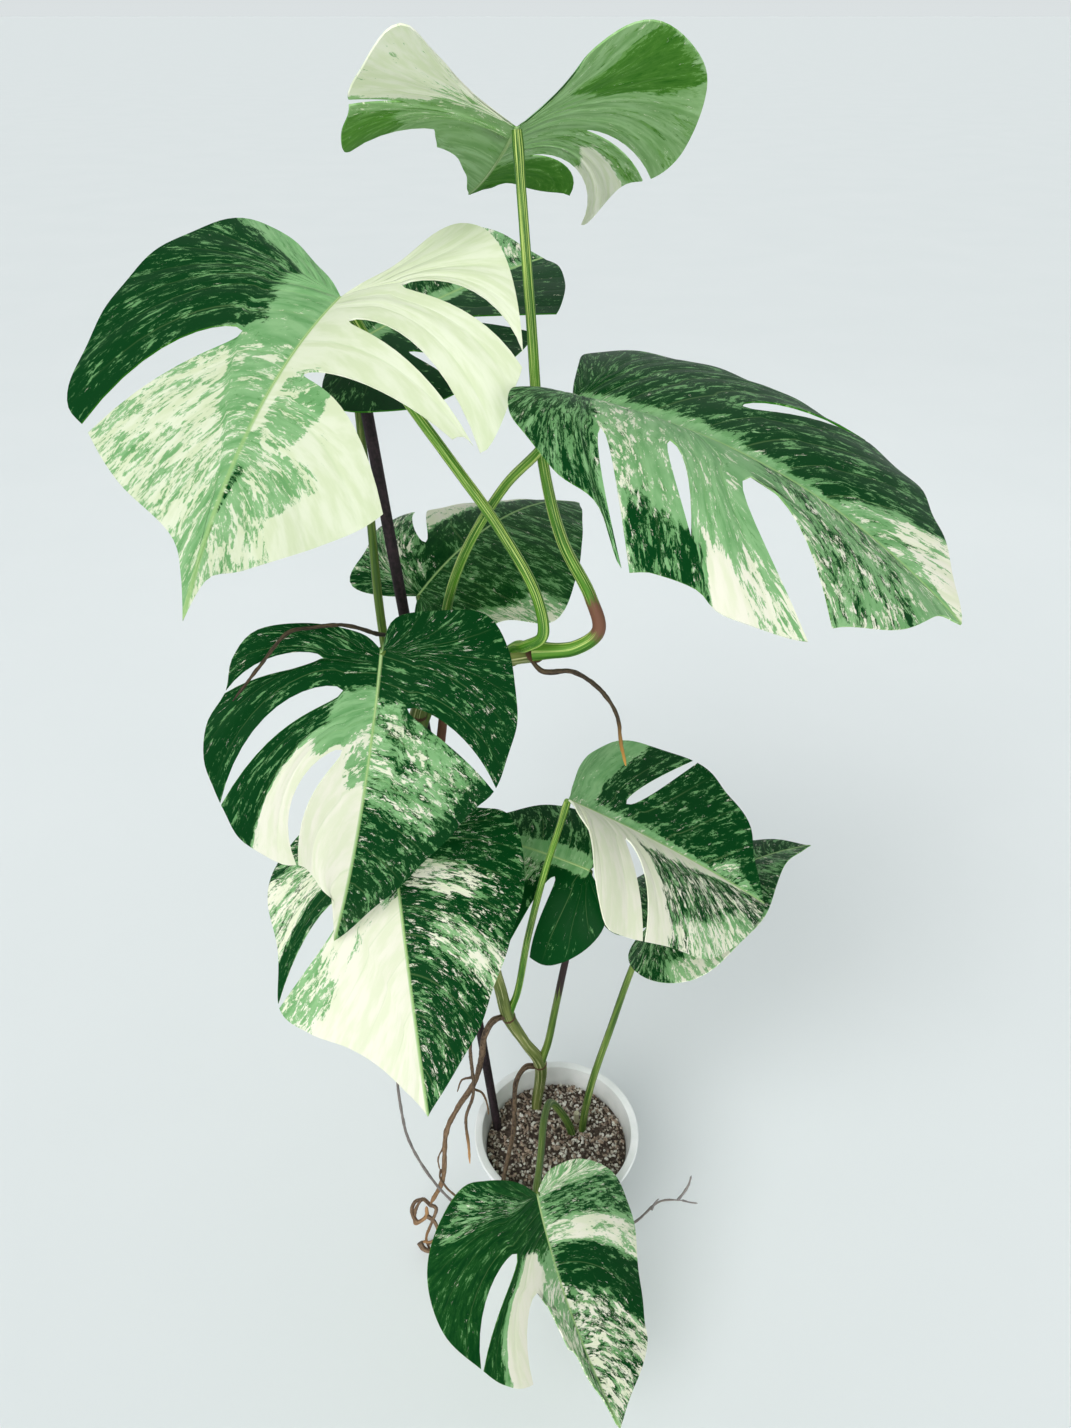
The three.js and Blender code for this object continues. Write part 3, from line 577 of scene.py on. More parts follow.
# %% Outline, veins and slits
BLADE_THICKNESS = 0.9
COLUMN_SPACING = 4.2
ROWS = 15
VEIN_REACH = 0.55
VEIN_SWEEP = 0.12
FAN_SHARE = 0.36
FAN_POWER = 1.6
START_STEP = 2.5
HALF_WIDTH = 0.53
RIB_SPACING = 26
ROW_CROWDING = 1.3


def clamp(value, low, high):
    return max(low, min(high, value))


def mix(a, b, share):
    return a + (b - a) * share


def outline_at(points, place):
    """A point of the smooth curve through the outline points; place counts those points."""
    last = len(points) - 1
    before = min(int(place), last - 1)
    t = place - before
    p0, p1 = points[max(before - 1, 0)], points[before]
    p2, p3 = points[before + 1], points[min(before + 2, last)]
    v0, v1 = (p2 - p0) / 2, (p3 - p1) / 2
    return (2 * p1 - 2 * p2 + v0 + v1) * t**3 + (3 * p2 - 3 * p1 - 2 * v0 - v1) * t**2 + v0 * t + p1


def slit_progress(border, share):
    """How open a slit is: 0 at its inner end, 1 at its mouth."""
    return clamp((share - border["begin"]) / (border["to"] - border["begin"]), 0, 1)


def slit_half_gap(border, share):
    along = slit_progress(border, share)
    widest = math.sqrt(1 / 3) * 2 / 3
    return border["gap"] / 2 * math.sqrt(along) * (1 - along) / widest


def natural_start(length, outline_share):
    return length * max(0, (outline_share - FAN_SHARE) / (1 - FAN_SHARE)) ** FAN_POWER


def natural_bend(start, end):
    return np.array((VEIN_REACH * end[0], start + VEIN_SWEEP * (end[1] - start)))


def row_shares(border):
    """Shares of the way out at which a vein gets a row, with one on each end of a slit."""
    begin, to = border["begin"], border["to"]
    opening = clamp(round(begin * ROWS), 1, ROWS - 1)
    closing = ROWS - 2 if to < 1 else ROWS
    shares = []
    for row in range(ROWS + 1):
        if row <= opening:
            shares.append(begin * row / opening)
        elif row > closing:
            shares.append(mix(to, 1, (row - closing) / (ROWS - closing)))
        else:
            open_share = ((row - opening) / (closing - opening)) ** ROW_CROWDING
            shares.append(begin + (to - begin) * open_share)
    return shares


def vein_point(start, bend, end, share):
    rest = 1 - share
    return rest * rest * np.array((0, start)) + 2 * rest * share * bend + share * share * end

# %% One half as a grid of corners
# A corner is x, y, distance round the edge, distance along the vein, rib count, share of the way
# out, and outline place.
RIM_STEPS = 12


def half_borders(leaf, half, points):
    """Slits and both ends of the midrib, each with how far its vein departs from the rule."""
    last = len(points) - 1
    ends = [slit(root, None, at, 0.5, 0, 0) for root, at in ((0, 0), (leaf["length"], last))]
    borders = []
    for border in [ends[0], *half["slits"], ends[1]]:
        natural = natural_bend(border["root"], outline_at(points, border["at"]))
        borders.append(
            dict(
                border,
                rows=row_shares(border),
                start_shift=border["root"] - natural_start(leaf["length"], border["at"] / last),
                bend_shift=np.array(border["bend"] or natural) - natural,
            )
        )
    return borders


def rim_table(points):
    """Fine outline places and how far round the edge each is."""
    last = len(points) - 1
    places = np.linspace(0, last, RIM_STEPS * last + 1)
    rim = np.array([outline_at(points, place) for place in places])
    travelled = np.concatenate([[0], np.cumsum(np.linalg.norm(np.diff(rim, axis=0), axis=1))])
    return places, travelled


def half_lobes(leaf, half, side):
    """Lobes of columns of corners; each column follows a vein from midrib to edge."""
    points = [np.array(p, float) for p in [(0, 0), *half["edge"], (0, leaf["length"])]]
    last = len(points) - 1
    borders = half_borders(leaf, half, points)
    rim_places, rim_travelled = rim_table(points)
    lobes = []
    rib_count = 0
    for low, high in zip(borders, borders[1:]):
        first, final = low["at"] + low["mouth"] / 2, high["at"] - high["mouth"] / 2
        from_rim, to_rim = np.interp([first, final], rim_places, rim_travelled)
        columns = max(4, round((to_rim - from_rim) / COLUMN_SPACING))
        ribs = max(1, round((to_rim - from_rim) / RIB_SPACING))
        start = low["root"]
        lobe = []
        for column in range(columns + 1):
            part = column / columns
            place = float(np.interp(mix(from_rim, to_rim, part), rim_travelled, rim_places))
            along = (place - first) / (final - first)
            wanted = natural_start(leaf["length"], place / last)
            wanted += mix(low["start_shift"], high["start_shift"], part)
            if column == columns:
                start = high["root"]
            elif column > 0:
                start = clamp(START_STEP * round(wanted / START_STEP), start, high["root"])
            bend_shift = mix(low["bend_shift"], high["bend_shift"], part)
            lobe.append([])
            travelled = 0
            for row in range(ROWS + 1):
                share = mix(low["rows"][row], high["rows"][row], part)
                low_place = low["at"] + low["mouth"] / 2 * slit_progress(low, share)
                high_place = high["at"] - high["mouth"] / 2 * slit_progress(high, share)
                here = mix(low_place, high_place, along)
                end = outline_at(points, here)
                bend = natural_bend(start, end) + bend_shift
                point = vein_point(start, bend, end, share)
                ahead = vein_point(start, bend, end, share + 0.01) - point
                ahead = ahead / (np.linalg.norm(ahead) or 1)
                push = mix(slit_half_gap(low, share), -slit_half_gap(high, share), part)
                x, y = max(0, point[0] - push * ahead[1]), point[1] + push * ahead[0]
                if row:
                    travelled += math.hypot(x - lobe[-1][-1][0] * side, y - lobe[-1][-1][1])
                around = float(np.interp(here, rim_places, rim_travelled))
                rib = rib_count + ribs * part
                lobe[-1].append((side * x, y, around, travelled, rib, share, here))
        rib_count += ribs
        lobes.append(lobe)
    return lobes


def half_faces(lobes, starts, side):
    """Flat faces of a half. The innermost strip has a corner at every place where a vein starts."""
    faces = []
    for lobe in lobes:
        for near, far in zip(lobe, lobe[1:]):
            span = far[0][1] - near[0][1]
            midrib = [near[0]]
            for y in starts:
                if near[0][1] < y < far[0][1]:
                    part = (y - near[0][1]) / span
                    rest = [mix(a, b, part) for a, b in zip(near[0][2:], far[0][2:])]
                    midrib.append((0.0, y, *rest))
            midrib.append(far[0])
            faces.append([near[0], near[1], far[1]])
            faces += [[a, far[1], b] for a, b in zip(midrib, midrib[1:])]
            faces += [[near[r], near[r + 1], far[r + 1], far[r]] for r in range(1, ROWS)]
    return faces if side > 0 else [face[::-1] for face in faces]

# %% [markdown]
# ## Folded, curled and arched
#
# A half lifts at the midrib and rolls down towards its edge, and the whole blade arches along its
# length. Both bends are parts of circles, so the flat distances keep their length. A low swell
# between the side veins and a slow wave at the edge give the sheet its life.

# %% Bending the sheet
SWELL = 0.3
EDGE_WAVE = 0.7
EDGE_WAVE_LENGTH = 47


def bent(leaf, x, y):
    """Where flat points go, as rows of x, y and z."""
    right = x >= 0
    curl = np.radians(np.where(right, leaf["right"]["curl"], leaf["left"]["curl"]))
    curl = curl / (HALF_WIDTH * leaf["length"])
    fold = np.where(right, leaf["right"]["fold"], leaf["left"]["fold"])
    hang = np.where(right, leaf["right"]["hang"], leaf["left"]["hang"])
    lift = np.radians(fold - hang * y / leaf["length"])
    slope = lift - curl * np.abs(x)
    across = (np.sin(lift) - np.sin(slope)) / curl
    up = (np.cos(slope) - np.cos(lift)) / curl
    arch = math.radians(leaf["arch"]) / leaf["length"]
    droop = arch * y
    return np.stack(
        [
            np.sign(x) * across,
            np.sin(droop) / arch + up * np.sin(droop),
            (np.cos(droop) - 1) / arch + up * np.cos(droop),
        ],
        axis=1,
    )


def bent_normals(leaf, x, y, step=0.5):
    along_x = bent(leaf, x + step, y) - bent(leaf, x - step, y)
    along_y = bent(leaf, x, y + step) - bent(leaf, x, y - step)
    normals = np.cross(along_x, along_y)
    return normals / np.linalg.norm(normals, axis=1)[:, None]


def turned(leaf, points):
    """Leaf points in the plant's frame: rolled, pitched, turned to the heading and moved."""
    pitch, roll, heading = (math.radians(leaf[key]) for key in ("pitch", "roll", "heading"))
    cp, sp, cr, sr, ch, sh = (
        f(a) for a in (pitch, roll, heading) for f in (math.cos, math.sin)
    )
    about_y = np.array([[cr, 0, sr], [0, 1, 0], [-sr, 0, cr]])
    about_x = np.array([[1, 0, 0], [0, cp, -sp], [0, sp, cp]])
    about_z = np.array([[ch, -sh, 0], [sh, ch, 0], [0, 0, 1]])
    return points @ (about_z @ about_x @ about_y).T + np.array(leaf["base"], float)

# %% One closed blade
# Both faces have the same corners, half a thickness to each side of the bent sheet, and a wall
# closes every edge. Colour and vein data lie on face corners, so that veins which meet at the
# petiole keep their own numbers.
SWELL_START = 12
WAVE_POWER = 3


def add_corner_data(mesh, name, rows):
    data = mesh.attributes.new(name, "FLOAT_VECTOR", "CORNER")
    data.data.foreach_set("vector", np.asarray(rows, np.float32).ravel())


def build_blade(name, leaf, upper, lower):
    right = half_lobes(leaf, leaf["right"], 1)
    left = half_lobes(leaf, leaf["left"], -1)
    starts = sorted({column[0][1] for lobe in right + left for column in lobe})
    faces = [(face, "right") for face in half_faces(right, starts, 1)]
    faces += [(face, "left") for face in half_faces(left, starts, -1)]
    numbers = {}
    flat, swell = [], []
    indexed = []
    for face, half_name in faces:
        around_face = []
        for corner in face:
            key = (round(corner[0], 2), round(corner[1], 2))
            if key not in numbers:
                numbers[key] = len(flat)
                flat.append(corner[:2])
                _, _, around, travelled, rib, share, _ = corner
                fade = math.sin(math.pi * min(1, share)) ** 0.6 * min(1, travelled / SWELL_START)
                wave = math.sin(2 * math.pi * around / EDGE_WAVE_LENGTH) * share**WAVE_POWER
                swell.append(-SWELL * math.cos(2 * math.pi * (rib - 0.5)) * fade + EDGE_WAVE * wave)
            around_face.append(numbers[key])
        kept = [i for i, number in enumerate(around_face) if number != around_face[i - 1]]
        if len(kept) > 2:
            indexed.append(([around_face[i] for i in kept], [face[i] for i in kept], half_name))
    flat = np.array(flat)
    middle = bent(leaf, flat[:, 0], flat[:, 1])
    normals = bent_normals(leaf, flat[:, 0], flat[:, 1])
    middle = middle + normals * np.array(swell)[:, None]
    top = turned(leaf, middle + normals * BLADE_THICKNESS / 2)
    bottom = turned(leaf, middle - normals * BLADE_THICKNESS / 2)
    count = len(flat)
    polygons, corners, halves, kinds = [], [], [], []
    directed = {(a, b) for ring, _, _ in indexed for a, b in zip(ring, ring[1:] + ring[:1])}
    for ring, face, half_name in indexed:
        polygons += [ring, [number + count for number in ring[::-1]]]
        corners += [face, face[::-1]]
        halves += [half_name] * 2
        kinds += [0, 1]
        steps = list(range(len(ring)))
        for i, j in zip(steps, steps[1:] + steps[:1]):
            a, b = ring[i], ring[j]
            if (b, a) not in directed:
                polygons.append([b, a, a + count, b + count])
                corners.append([face[j], face[i], face[i], face[j]])
                halves.append(half_name)
                kinds.append(2)
    mesh = bpy.data.meshes.new(f"leaf_{name}")
    mesh.from_pydata((np.concatenate([top, bottom]) * MM).tolist(), [], polygons)
    sizes = [len(face) for face in corners]
    data = np.array([corner for face in corners for corner in face])
    is_right = np.repeat([half == "right" for half in halves], sizes)
    colours = np.where(
        is_right[:, None],
        sector_values(name, "right", data[:, 6], data[:, 5]),
        sector_values(name, "left", data[:, 6], data[:, 5]),
    )
    seed = 37 * list(LEAVES).index(name) + 11 * ~is_right
    add_corner_data(mesh, "vein", np.stack([data[:, 2], data[:, 3], seed], axis=1))
    add_corner_data(mesh, "rib", np.stack([data[:, 4], data[:, 5], np.abs(data[:, 0])], axis=1))
    add_corner_data(mesh, "white", colours)
    plan = mesh.uv_layers.new(name="plan")
    plan.data.foreach_set("uv", (data[:, :2] / leaf["length"]).astype(np.float32).ravel())
    mesh.materials.append(upper)
    mesh.materials.append(lower)
    mesh.polygons.foreach_set("material_index", [min(kind, 1) for kind in kinds])
    mesh.polygons.foreach_set("use_smooth", [True] * len(kinds))
    mark_rim_sharp(mesh, count)
    mesh.validate()
    return show(f"leaf_{name}", mesh)


def mark_rim_sharp(mesh, count):
    """The edges between a face and its wall are sharp: those walls join the two faces."""
    walls = set()
    for polygon in mesh.polygons:
        numbers = list(polygon.vertices)
        if min(numbers) < count <= max(numbers):
            walls.update(polygon.edge_keys)
    sharp = [
        edge.key in walls and (edge.vertices[0] < count) == (edge.vertices[1] < count)
        for edge in mesh.edges
    ]
    mark = mesh.attributes.new("sharp_edge", "BOOLEAN", "EDGE")
    mark.data.foreach_set("value", sharp)

# %% [markdown]
# ## The marbled skin
#
# Cells without green follow the side veins, so every splash is long across the sheet and narrow
# around it, and its edge is ragged. Three layers do this: a green ground, sage over it, and cream
# over that. Sage and cream are clouds stretched along the veins and cut off sharply, and the
# sectors raise or lower the cut.

# %% Leaf finishes
# Deep green, middle green, flecks, deep sage and sage.
UPPER_GREENS = ((1, 58, 18), (58, 120, 52), (112, 162, 104), (104, 156, 98), (138, 182, 128))
UNDER_GREENS = ((46, 110, 22), (98, 154, 62), (126, 176, 96), (128, 174, 106), (166, 204, 146))
CREAMS = ((218, 222, 194), (229, 227, 209))
PALE_CREAMS = ((204, 214, 178), (217, 223, 197))
UNDER_CREAMS = ((232, 238, 206), (246, 247, 228))
VEIN_PALE = (150, 186, 118)
SPLASH_WIDTH = 1 / 9
SPLASH_LENGTH = 1 / 26


def leaf_finish(name, greens, creams, rough=0.42):
    deep, middle, flecks, sage_deep, sage_light = greens
    cream_deep, cream_light = creams
    skin = Finish(name, Specular_IOR_Level=0.06)
    around, along, seed = skin.parts(skin.attribute("vein"))
    rib, share, from_midrib = skin.parts(skin.attribute("rib"))
    cream, sage, bright = skin.parts(skin.attribute("white"))
    place = skin.vector(around * SPLASH_WIDTH, along * SPLASH_LENGTH, seed)
    fine = skin.vector(around * (SPLASH_WIDTH * 4.5), along * (SPLASH_LENGTH * 3.2), seed)
    spray = skin.vector(around * (SPLASH_WIDTH * 1.7), along * (SPLASH_LENGTH * 1.5), seed + 5)
    blotch = skin.clouds(place, 1.0, detail=8, roughness=0.74, distortion=0.35)
    fleck = skin.clouds(fine, 1.0, detail=4, roughness=0.62, distortion=0.5)
    streak = skin.clouds(spray, 1.0, detail=9, roughness=0.8, distortion=0.3)
    pale_streak = skin.clouds(spray, 1.45, detail=9, roughness=0.8, distortion=0.3)
    shifted = skin.add("ShaderNodeVectorMath", {"operation": "ADD"}, {0: place, 1: (31, 17, 5)})
    sage_blotch = skin.clouds(shifted, 1.15, detail=8, roughness=0.74, distortion=0.3)
    ragged = (blotch - 0.5) * 1.5 + (fleck - 0.5) * 0.75
    sage_ragged = (sage_blotch - 0.5) * 1.5 + (fleck - 0.5) * 0.65
    cream_mask = (cream + ragged).rise(0.47, 0.53)
    sage_mask = (sage - sage_ragged).rise(0.44, 0.56)
    tone = skin.clouds(fine, 0.35, detail=3)
    # Middle green follows the bright green amount, which on two halves is partly painted light.
    ground = skin.blend((bright + (streak - 0.5) * 1.6).rise(0.1, 0.9), deep, middle)
    ground = skin.blend((streak + sage * 0.22).rise(0.6, 0.63) * 0.85, ground, flecks)
    pale = skin.blend(tone.rise(0.3, 0.7), sage_light, sage_deep)
    pale = skin.blend(streak.rise(0.57, 0.61) * 0.5, pale, middle)
    painted = skin.blend(sage_mask, ground, pale)
    ivory = skin.blend(tone.rise(0.35, 0.65), cream_light, cream_deep)
    painted = skin.blend(cream_mask, painted, ivory)
    painted = skin.blend((pale_streak + cream * 0.24).rise(0.64, 0.67) * 0.9, painted, ivory)
    off_rib = abs(rib.fraction() - 0.5)
    rib_line = (1 - off_rib.rise(0.0, 0.035)) * share.rise(1.05, 0.5)
    painted = skin.blend(rib_line * 0.16, painted, VEIN_PALE)
    midrib_line = 1 - from_midrib.rise(0.4, 1.5)
    painted = skin.blend(midrib_line * 0.8, painted, VEIN_PALE)
    skin.set("Base Color", painted)
    grain = skin.clouds(skin.place(), 420, detail=2)
    skin.set("Roughness", grain * 0.1 + cream_mask * 0.05 + rough)
    height = (1 - off_rib.rise(0.0, 0.12)) * -0.5 + grain * 0.06 + tone * 0.12
    skin.bump(height, 0.0005, 0.45)
    return skin.material


leaf_upper = leaf_finish("leaf_marbled", UPPER_GREENS, CREAMS)
leaf_pale = leaf_finish("leaf_half_pale", UPPER_GREENS, PALE_CREAMS)
leaf_lower = leaf_finish("leaf_underside", UNDER_GREENS, UNDER_CREAMS, 0.58)

# %% Make the eleven blades
for leaf_name, leaf in LEAVES.items():
    is_pale = leaf_name == "upper_left"
    blade = build_blade(leaf_name, leaf, leaf_pale if is_pale else leaf_upper, leaf_lower)
    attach(blade, "root")
    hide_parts(f"blade_{leaf_name}")
    print("leaf", leaf_name, len(blade.data.polygons), "faces")

# %% [markdown]
# ## Stalks from one set of nodes
#
# The vine, the petioles, the midribs, the stake and the aerial roots are all round stalks along a
# path. Geometry Nodes sweep a circle along each path, with the girth stored at its points, and
# roughen the bark. The finish can read where a point lies round the stalk, how far along it is,
# and how worn the stalk is there.

# %% A smooth path through points


def slope_at(before, point, after, gap_before, gap_after):
    """The slope of the curve at a point, from its two neighbours."""
    return (
        (point - before) / gap_before
        - (after - before) / (gap_before + gap_after)
        + (after - point) / gap_after
    )


def smooth_path(points, spacing=3.0):
    """Points of an even curve through the given ones, each with its place counted in points."""
    p = [np.array(point, float) for point in points]
    p = [2 * p[0] - p[1], *p, 2 * p[-1] - p[-2]]
    made, places = [], []
    for i in range(1, len(p) - 2):
        steps = max(2, round(np.linalg.norm(p[i + 1] - p[i]) / spacing))
        near, gap, far = (
            max(1e-4, np.linalg.norm(p[k + 1] - p[k]) ** 0.5) for k in (i - 1, i, i + 1)
        )
        slope1 = slope_at(p[i - 1], p[i], p[i + 1], near, gap) * gap
        slope2 = slope_at(p[i], p[i + 1], p[i + 2], gap, far) * gap
        for step in range(steps):
            t = step / steps
            made.append(
                (2 * t**3 - 3 * t**2 + 1) * p[i]
                + (t**3 - 2 * t**2 + t) * slope1
                + (3 * t**2 - 2 * t**3) * p[i + 1]
                + (t**3 - t**2) * slope2
            )
            places.append(i - 1 + t)
    made.append(p[-2])
    places.append(len(points) - 1.0)
    return np.array(made), np.array(places)

# %% The nodes that sweep a stalk


class NodeGroup(Nodes):
    """A Geometry Nodes tree with named inputs, of which the last is the finish."""

    def __init__(self, name, result, inputs):
        tree = bpy.data.node_groups.new(name, "GeometryNodeTree")
        tree.is_modifier = True
        super().__init__(tree)
        for label, kind, value in [*inputs, ("Finish", "Material", None)]:
            socket = self.new_socket(label, "INPUT", kind)
            if value is not None:
                socket.default_value = value
        self.new_socket(result, "OUTPUT", "Geometry")
        self.given = self.add("NodeGroupInput")

    def new_socket(self, label, side, kind):
        kind = f"NodeSocket{kind}"
        return self.tree.interface.new_socket(label, in_out=side, socket_type=kind)

    def noise(self, output, **values):
        return self.add("ShaderNodeTexNoise", values=values, output=output)

    def edit(self, kind, geometry, **values):
        """The next step on a geometry, by the end of its node's type."""
        return self.add(f"GeometryNode{kind}", values={"Geometry": geometry, **values})

    def finish(self, geometry):
        """Paint the geometry and hand it out."""
        painted = self.edit("SetMaterial", geometry, Material=self.given.out("Finish"))
        self.add("NodeGroupOutput", values={0: painted})
        return self.tree


def stalk_nodes():
    inputs = [
        ("Path", "Geometry", None),
        ("Sides", "Int", 16),
        ("Bark Depth", "Float", 0.0),
        ("Bark Scale", "Float", 300.0),
    ]
    group = NodeGroup("stalk", "Stalk", inputs)
    add, given = group.add, group.given
    path = add("GeometryNodeMeshToCurve", values={"Mesh": given.out("Path")})
    path = add(
        "GeometryNodeCaptureAttribute",
        {"captures": [("FLOAT", "Travelled")]},
        {"Geometry": path, "Travelled": add("GeometryNodeSplineParameter", output="Length")},
    )
    ring = add(
        "GeometryNodeCurvePrimitiveCircle", values={"Radius": 1, "Resolution": given.out("Sides")}
    )
    ring = add(
        "GeometryNodeCaptureAttribute",
        {"captures": [("VECTOR", "Around")]},
        {"Geometry": ring, "Around": add("GeometryNodeInputPosition")},
    )
    girth = add(
        "GeometryNodeInputNamedAttribute", {"data_type": "FLOAT"}, {"Name": "girth"}, "Attribute"
    )
    stalk = add(
        "GeometryNodeCurveToMesh",
        values={"Curve": path, "Profile Curve": ring, "Scale": girth, "Fill Caps": True},
    )
    across, up, _ = group.parts(ring.out("Around"))
    stalk = add(
        "GeometryNodeStoreNamedAttribute",
        {"data_type": "FLOAT_VECTOR"},
        {
            "Geometry": stalk,
            "Name": "strand",
            "Value": group.vector(across, up, path.out("Travelled")),
        },
    )
    bark = group.noise("Fac", Detail=3, Scale=given.out("Bark Scale")) - 0.5
    lift = add(
        "ShaderNodeVectorMath",
        {"operation": "SCALE"},
        {"Vector": add("GeometryNodeInputNormal"), "Scale": bark * given.out("Bark Depth")},
    )
    stalk = group.edit("SetPosition", stalk, Offset=lift)
    stalk = group.edit("SetShadeSmooth", stalk)
    return group.finish(group.edit("RealizeInstances", stalk))


STALK_NODES = stalk_nodes()


def settled(base, tree, settings):
    """Give an object the plain mesh that a node tree makes of it, with the named inputs set."""
    modifier = base.modifiers.new(tree.name, "NODES")
    modifier.node_group = tree
    for item in tree.interface.items_tree:
        if item.in_out == "INPUT" and item.name in settings:
            modifier[item.identifier] = settings[item.name]
    shown = base.evaluated_get(bpy.context.evaluated_depsgraph_get())
    mesh = bpy.data.meshes.new_from_object(shown)
    base.modifiers.remove(modifier)
    old = base.data
    base.data = mesh
    bpy.data.meshes.remove(old)
    mesh.name = base.name


def make_stalk(name, ways, finish, sides=16, bark_depth=0.0, bark_scale=300.0):
    """One piece of one or more stalks; each way is a list of points, girths and wear."""
    points, edges, girths, worn = [], [], [], []
    for way, girth, wear in ways:
        first = len(points)
        points += [tuple(point * MM) for point in np.asarray(way)]
        edges += [(i, i + 1) for i in range(first, len(points) - 1)]
        girths += [value * MM for value in girth]
        worn += list(wear)
    mesh = bpy.data.meshes.new(name)
    mesh.from_pydata(points, edges, [])
    for key, values in (("girth", girths), ("wear", worn)):
        data = mesh.attributes.new(key, "FLOAT", "POINT")
        data.data.foreach_set("value", np.asarray(values, np.float32))
    stalk = show(name, mesh)
    settings = {"Sides": sides, "Bark Depth": bark_depth, "Bark Scale": bark_scale}
    settings["Finish"] = finish
    settled(stalk, STALK_NODES, settings)
    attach(stalk, "root")
    return stalk

# %% [markdown]
# ## Finishes for stalks
#
# A petiole is smooth and green with thin cream lines that run along it, and goes brown where it is
# old or bruised. Bark on the roots is dull and ringed. Both read the numbers kept along the stalk,
# so the lines follow every bend.

# %% Green and brown stalks


def strand_finish(name):
    """A new finish with the numbers kept along its stalk."""
    skin = Finish(name, Specular_IOR_Level=0.3)
    across, up, travelled = skin.parts(skin.attribute("strand"))

    def grain(round_scale, long_scale, **kind):
        stretched = skin.vector(across * round_scale, up * round_scale, travelled * long_scale)
        return skin.clouds(stretched, 1.0, **kind)

    return skin, grain, skin.attribute("wear", output="Fac")


def stripe_finish(name, ground, light, stripe, old, stripe_amount, rough=0.38):
    skin, grain, wear = strand_finish(name)
    stripes = grain(4, 9, detail=4, roughness=0.7)
    painted = skin.blend(grain(0.8, 14, detail=2).rise(0.35, 0.65), ground, light)
    is_stripe = (stripes - (1 - stripe_amount) * 0.5).rise(0.16, 0.24)
    painted = skin.blend(is_stripe, painted, stripe)
    speck = grain(3, 90, detail=4)
    painted = skin.blend((wear + (speck - 0.5) * 0.7).rise(0.4, 0.62), painted, old)
    skin.set("Base Color", painted)
    skin.set("Roughness", speck * 0.15 + wear * 0.25 + rough)
    skin.bump(stripes * 0.5 + speck * 0.4 * wear, 0.0005, 0.4)
    return skin.material


def bark_finish(name, dark, light, tip):
    skin, grain, wear = strand_finish(name)
    rings = grain(1.5, 420, detail=4, roughness=0.65)
    broad = grain(1, 40, detail=3)
    painted = skin.blend((rings * 0.5 + broad * 0.5).rise(0.38, 0.62), dark, light)
    painted = skin.blend(wear, painted, tip)
    skin.set("Base Color", painted)
    skin.set("Roughness", rings * 0.2 + 0.62)
    skin.bump(rings, 0.0006, 0.8)
    return skin.material


# Ground, its lighter parts, stripes, old skin, how much is striped and, for some, how rough it is.
petiole_green = stripe_finish(
    "petiole_green", (36, 92, 10), (86, 138, 34), (190, 208, 116), (112, 74, 56), 0.3
)
petiole_olive = stripe_finish(
    "petiole_olive", (52, 86, 24), (98, 124, 50), (172, 180, 112), (44, 30, 30), 0.22
)
vine_skin = stripe_finish(
    "vine_skin", (74, 92, 36), (120, 132, 68), (188, 188, 136), (84, 58, 42), 0.26, 0.5
)
midrib_pale = stripe_finish(
    "midrib_pale", (128, 168, 92), (162, 196, 122), (206, 218, 166), (120, 100, 70), 0.3
)
cut_stub = stripe_finish(
    "cut_stub", (176, 170, 140), (198, 192, 164), (214, 208, 184), (120, 96, 70), 0.3, 0.7
)
root_bark = bark_finish("root_bark", (54, 42, 34), (124, 103, 82), (200, 150, 96))
root_dark = bark_finish("root_dark", (30, 24, 18), (80, 66, 46), (190, 140, 66))
root_grey = bark_finish("root_grey", (86, 82, 84), (136, 130, 127), (156, 144, 130))
stake_wood = bark_finish("stake_wood", (18, 12, 15), (50, 36, 42), (92, 74, 72))

# %% [markdown]
# ## The vine and its nodes
#
# Each node of the vine is a swelling with a thin brown scar round it, where an old leaf came away.

# %% Vine stem
# Points of its way, each with the vine's radius there.
VINE = [
    (-17, 36, 62, 4.4), (-17, 35, 105, 4.4), (-14, 35, 162, 5.4), (-27, 31, 196, 4.4),
    (-40, 26, 234, 5.4), (-47, 21, 280, 4.6), (-57, 21, 330, 5.4), (-70, 24, 400, 5),
    (-86, 30, 470, 6), (-96, 35, 525, 5.4), (-80, 33, 554, 6.4), (-50, 24, 569, 6),
    (-33, 13, 584, 6), (-18, -3, 597, 6.6),
]
VINE_NODES = [2, 4, 6, 8, 9, 10, 12, 13]
SCAR_LENGTH = 2.2
SCAR_HEIGHT = 0.5
SCAR_WEAR = 0.75
FOOT_WEAR = 0.25


def travelled_along(path):
    steps = np.linalg.norm(np.diff(path, axis=0), axis=1)
    return np.concatenate([[0], np.cumsum(steps)])


vine_path, vine_places = smooth_path([point[:3] for point in VINE], 1.2)
vine_girth = np.interp(vine_places, range(len(VINE)), [point[3] for point in VINE])
vine_travelled = travelled_along(vine_path)
vine_wear = FOOT_WEAR * (1 - vine_travelled / vine_travelled[-1])
for node in VINE_NODES:
    off_scar = (vine_travelled - np.interp(node, vine_places, vine_travelled)) / SCAR_LENGTH
    scar = np.exp(-(off_scar**2))
    vine_girth = vine_girth + SCAR_HEIGHT * scar
    vine_wear = np.maximum(vine_wear, SCAR_WEAR * scar)
vine = make_stalk("vine", [(vine_path, vine_girth, vine_wear)], vine_skin, 24, 0.0005, 220)
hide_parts("vine_stem")
print("vine", len(vine.data.polygons), "faces")

# %% [markdown]
# ## Petioles
#
# A petiole is thicker at its foot, where it hugs the vine, and swells again at the knee just under
# the blade, which turns the leaf to the light. The foot of an old one is brown.

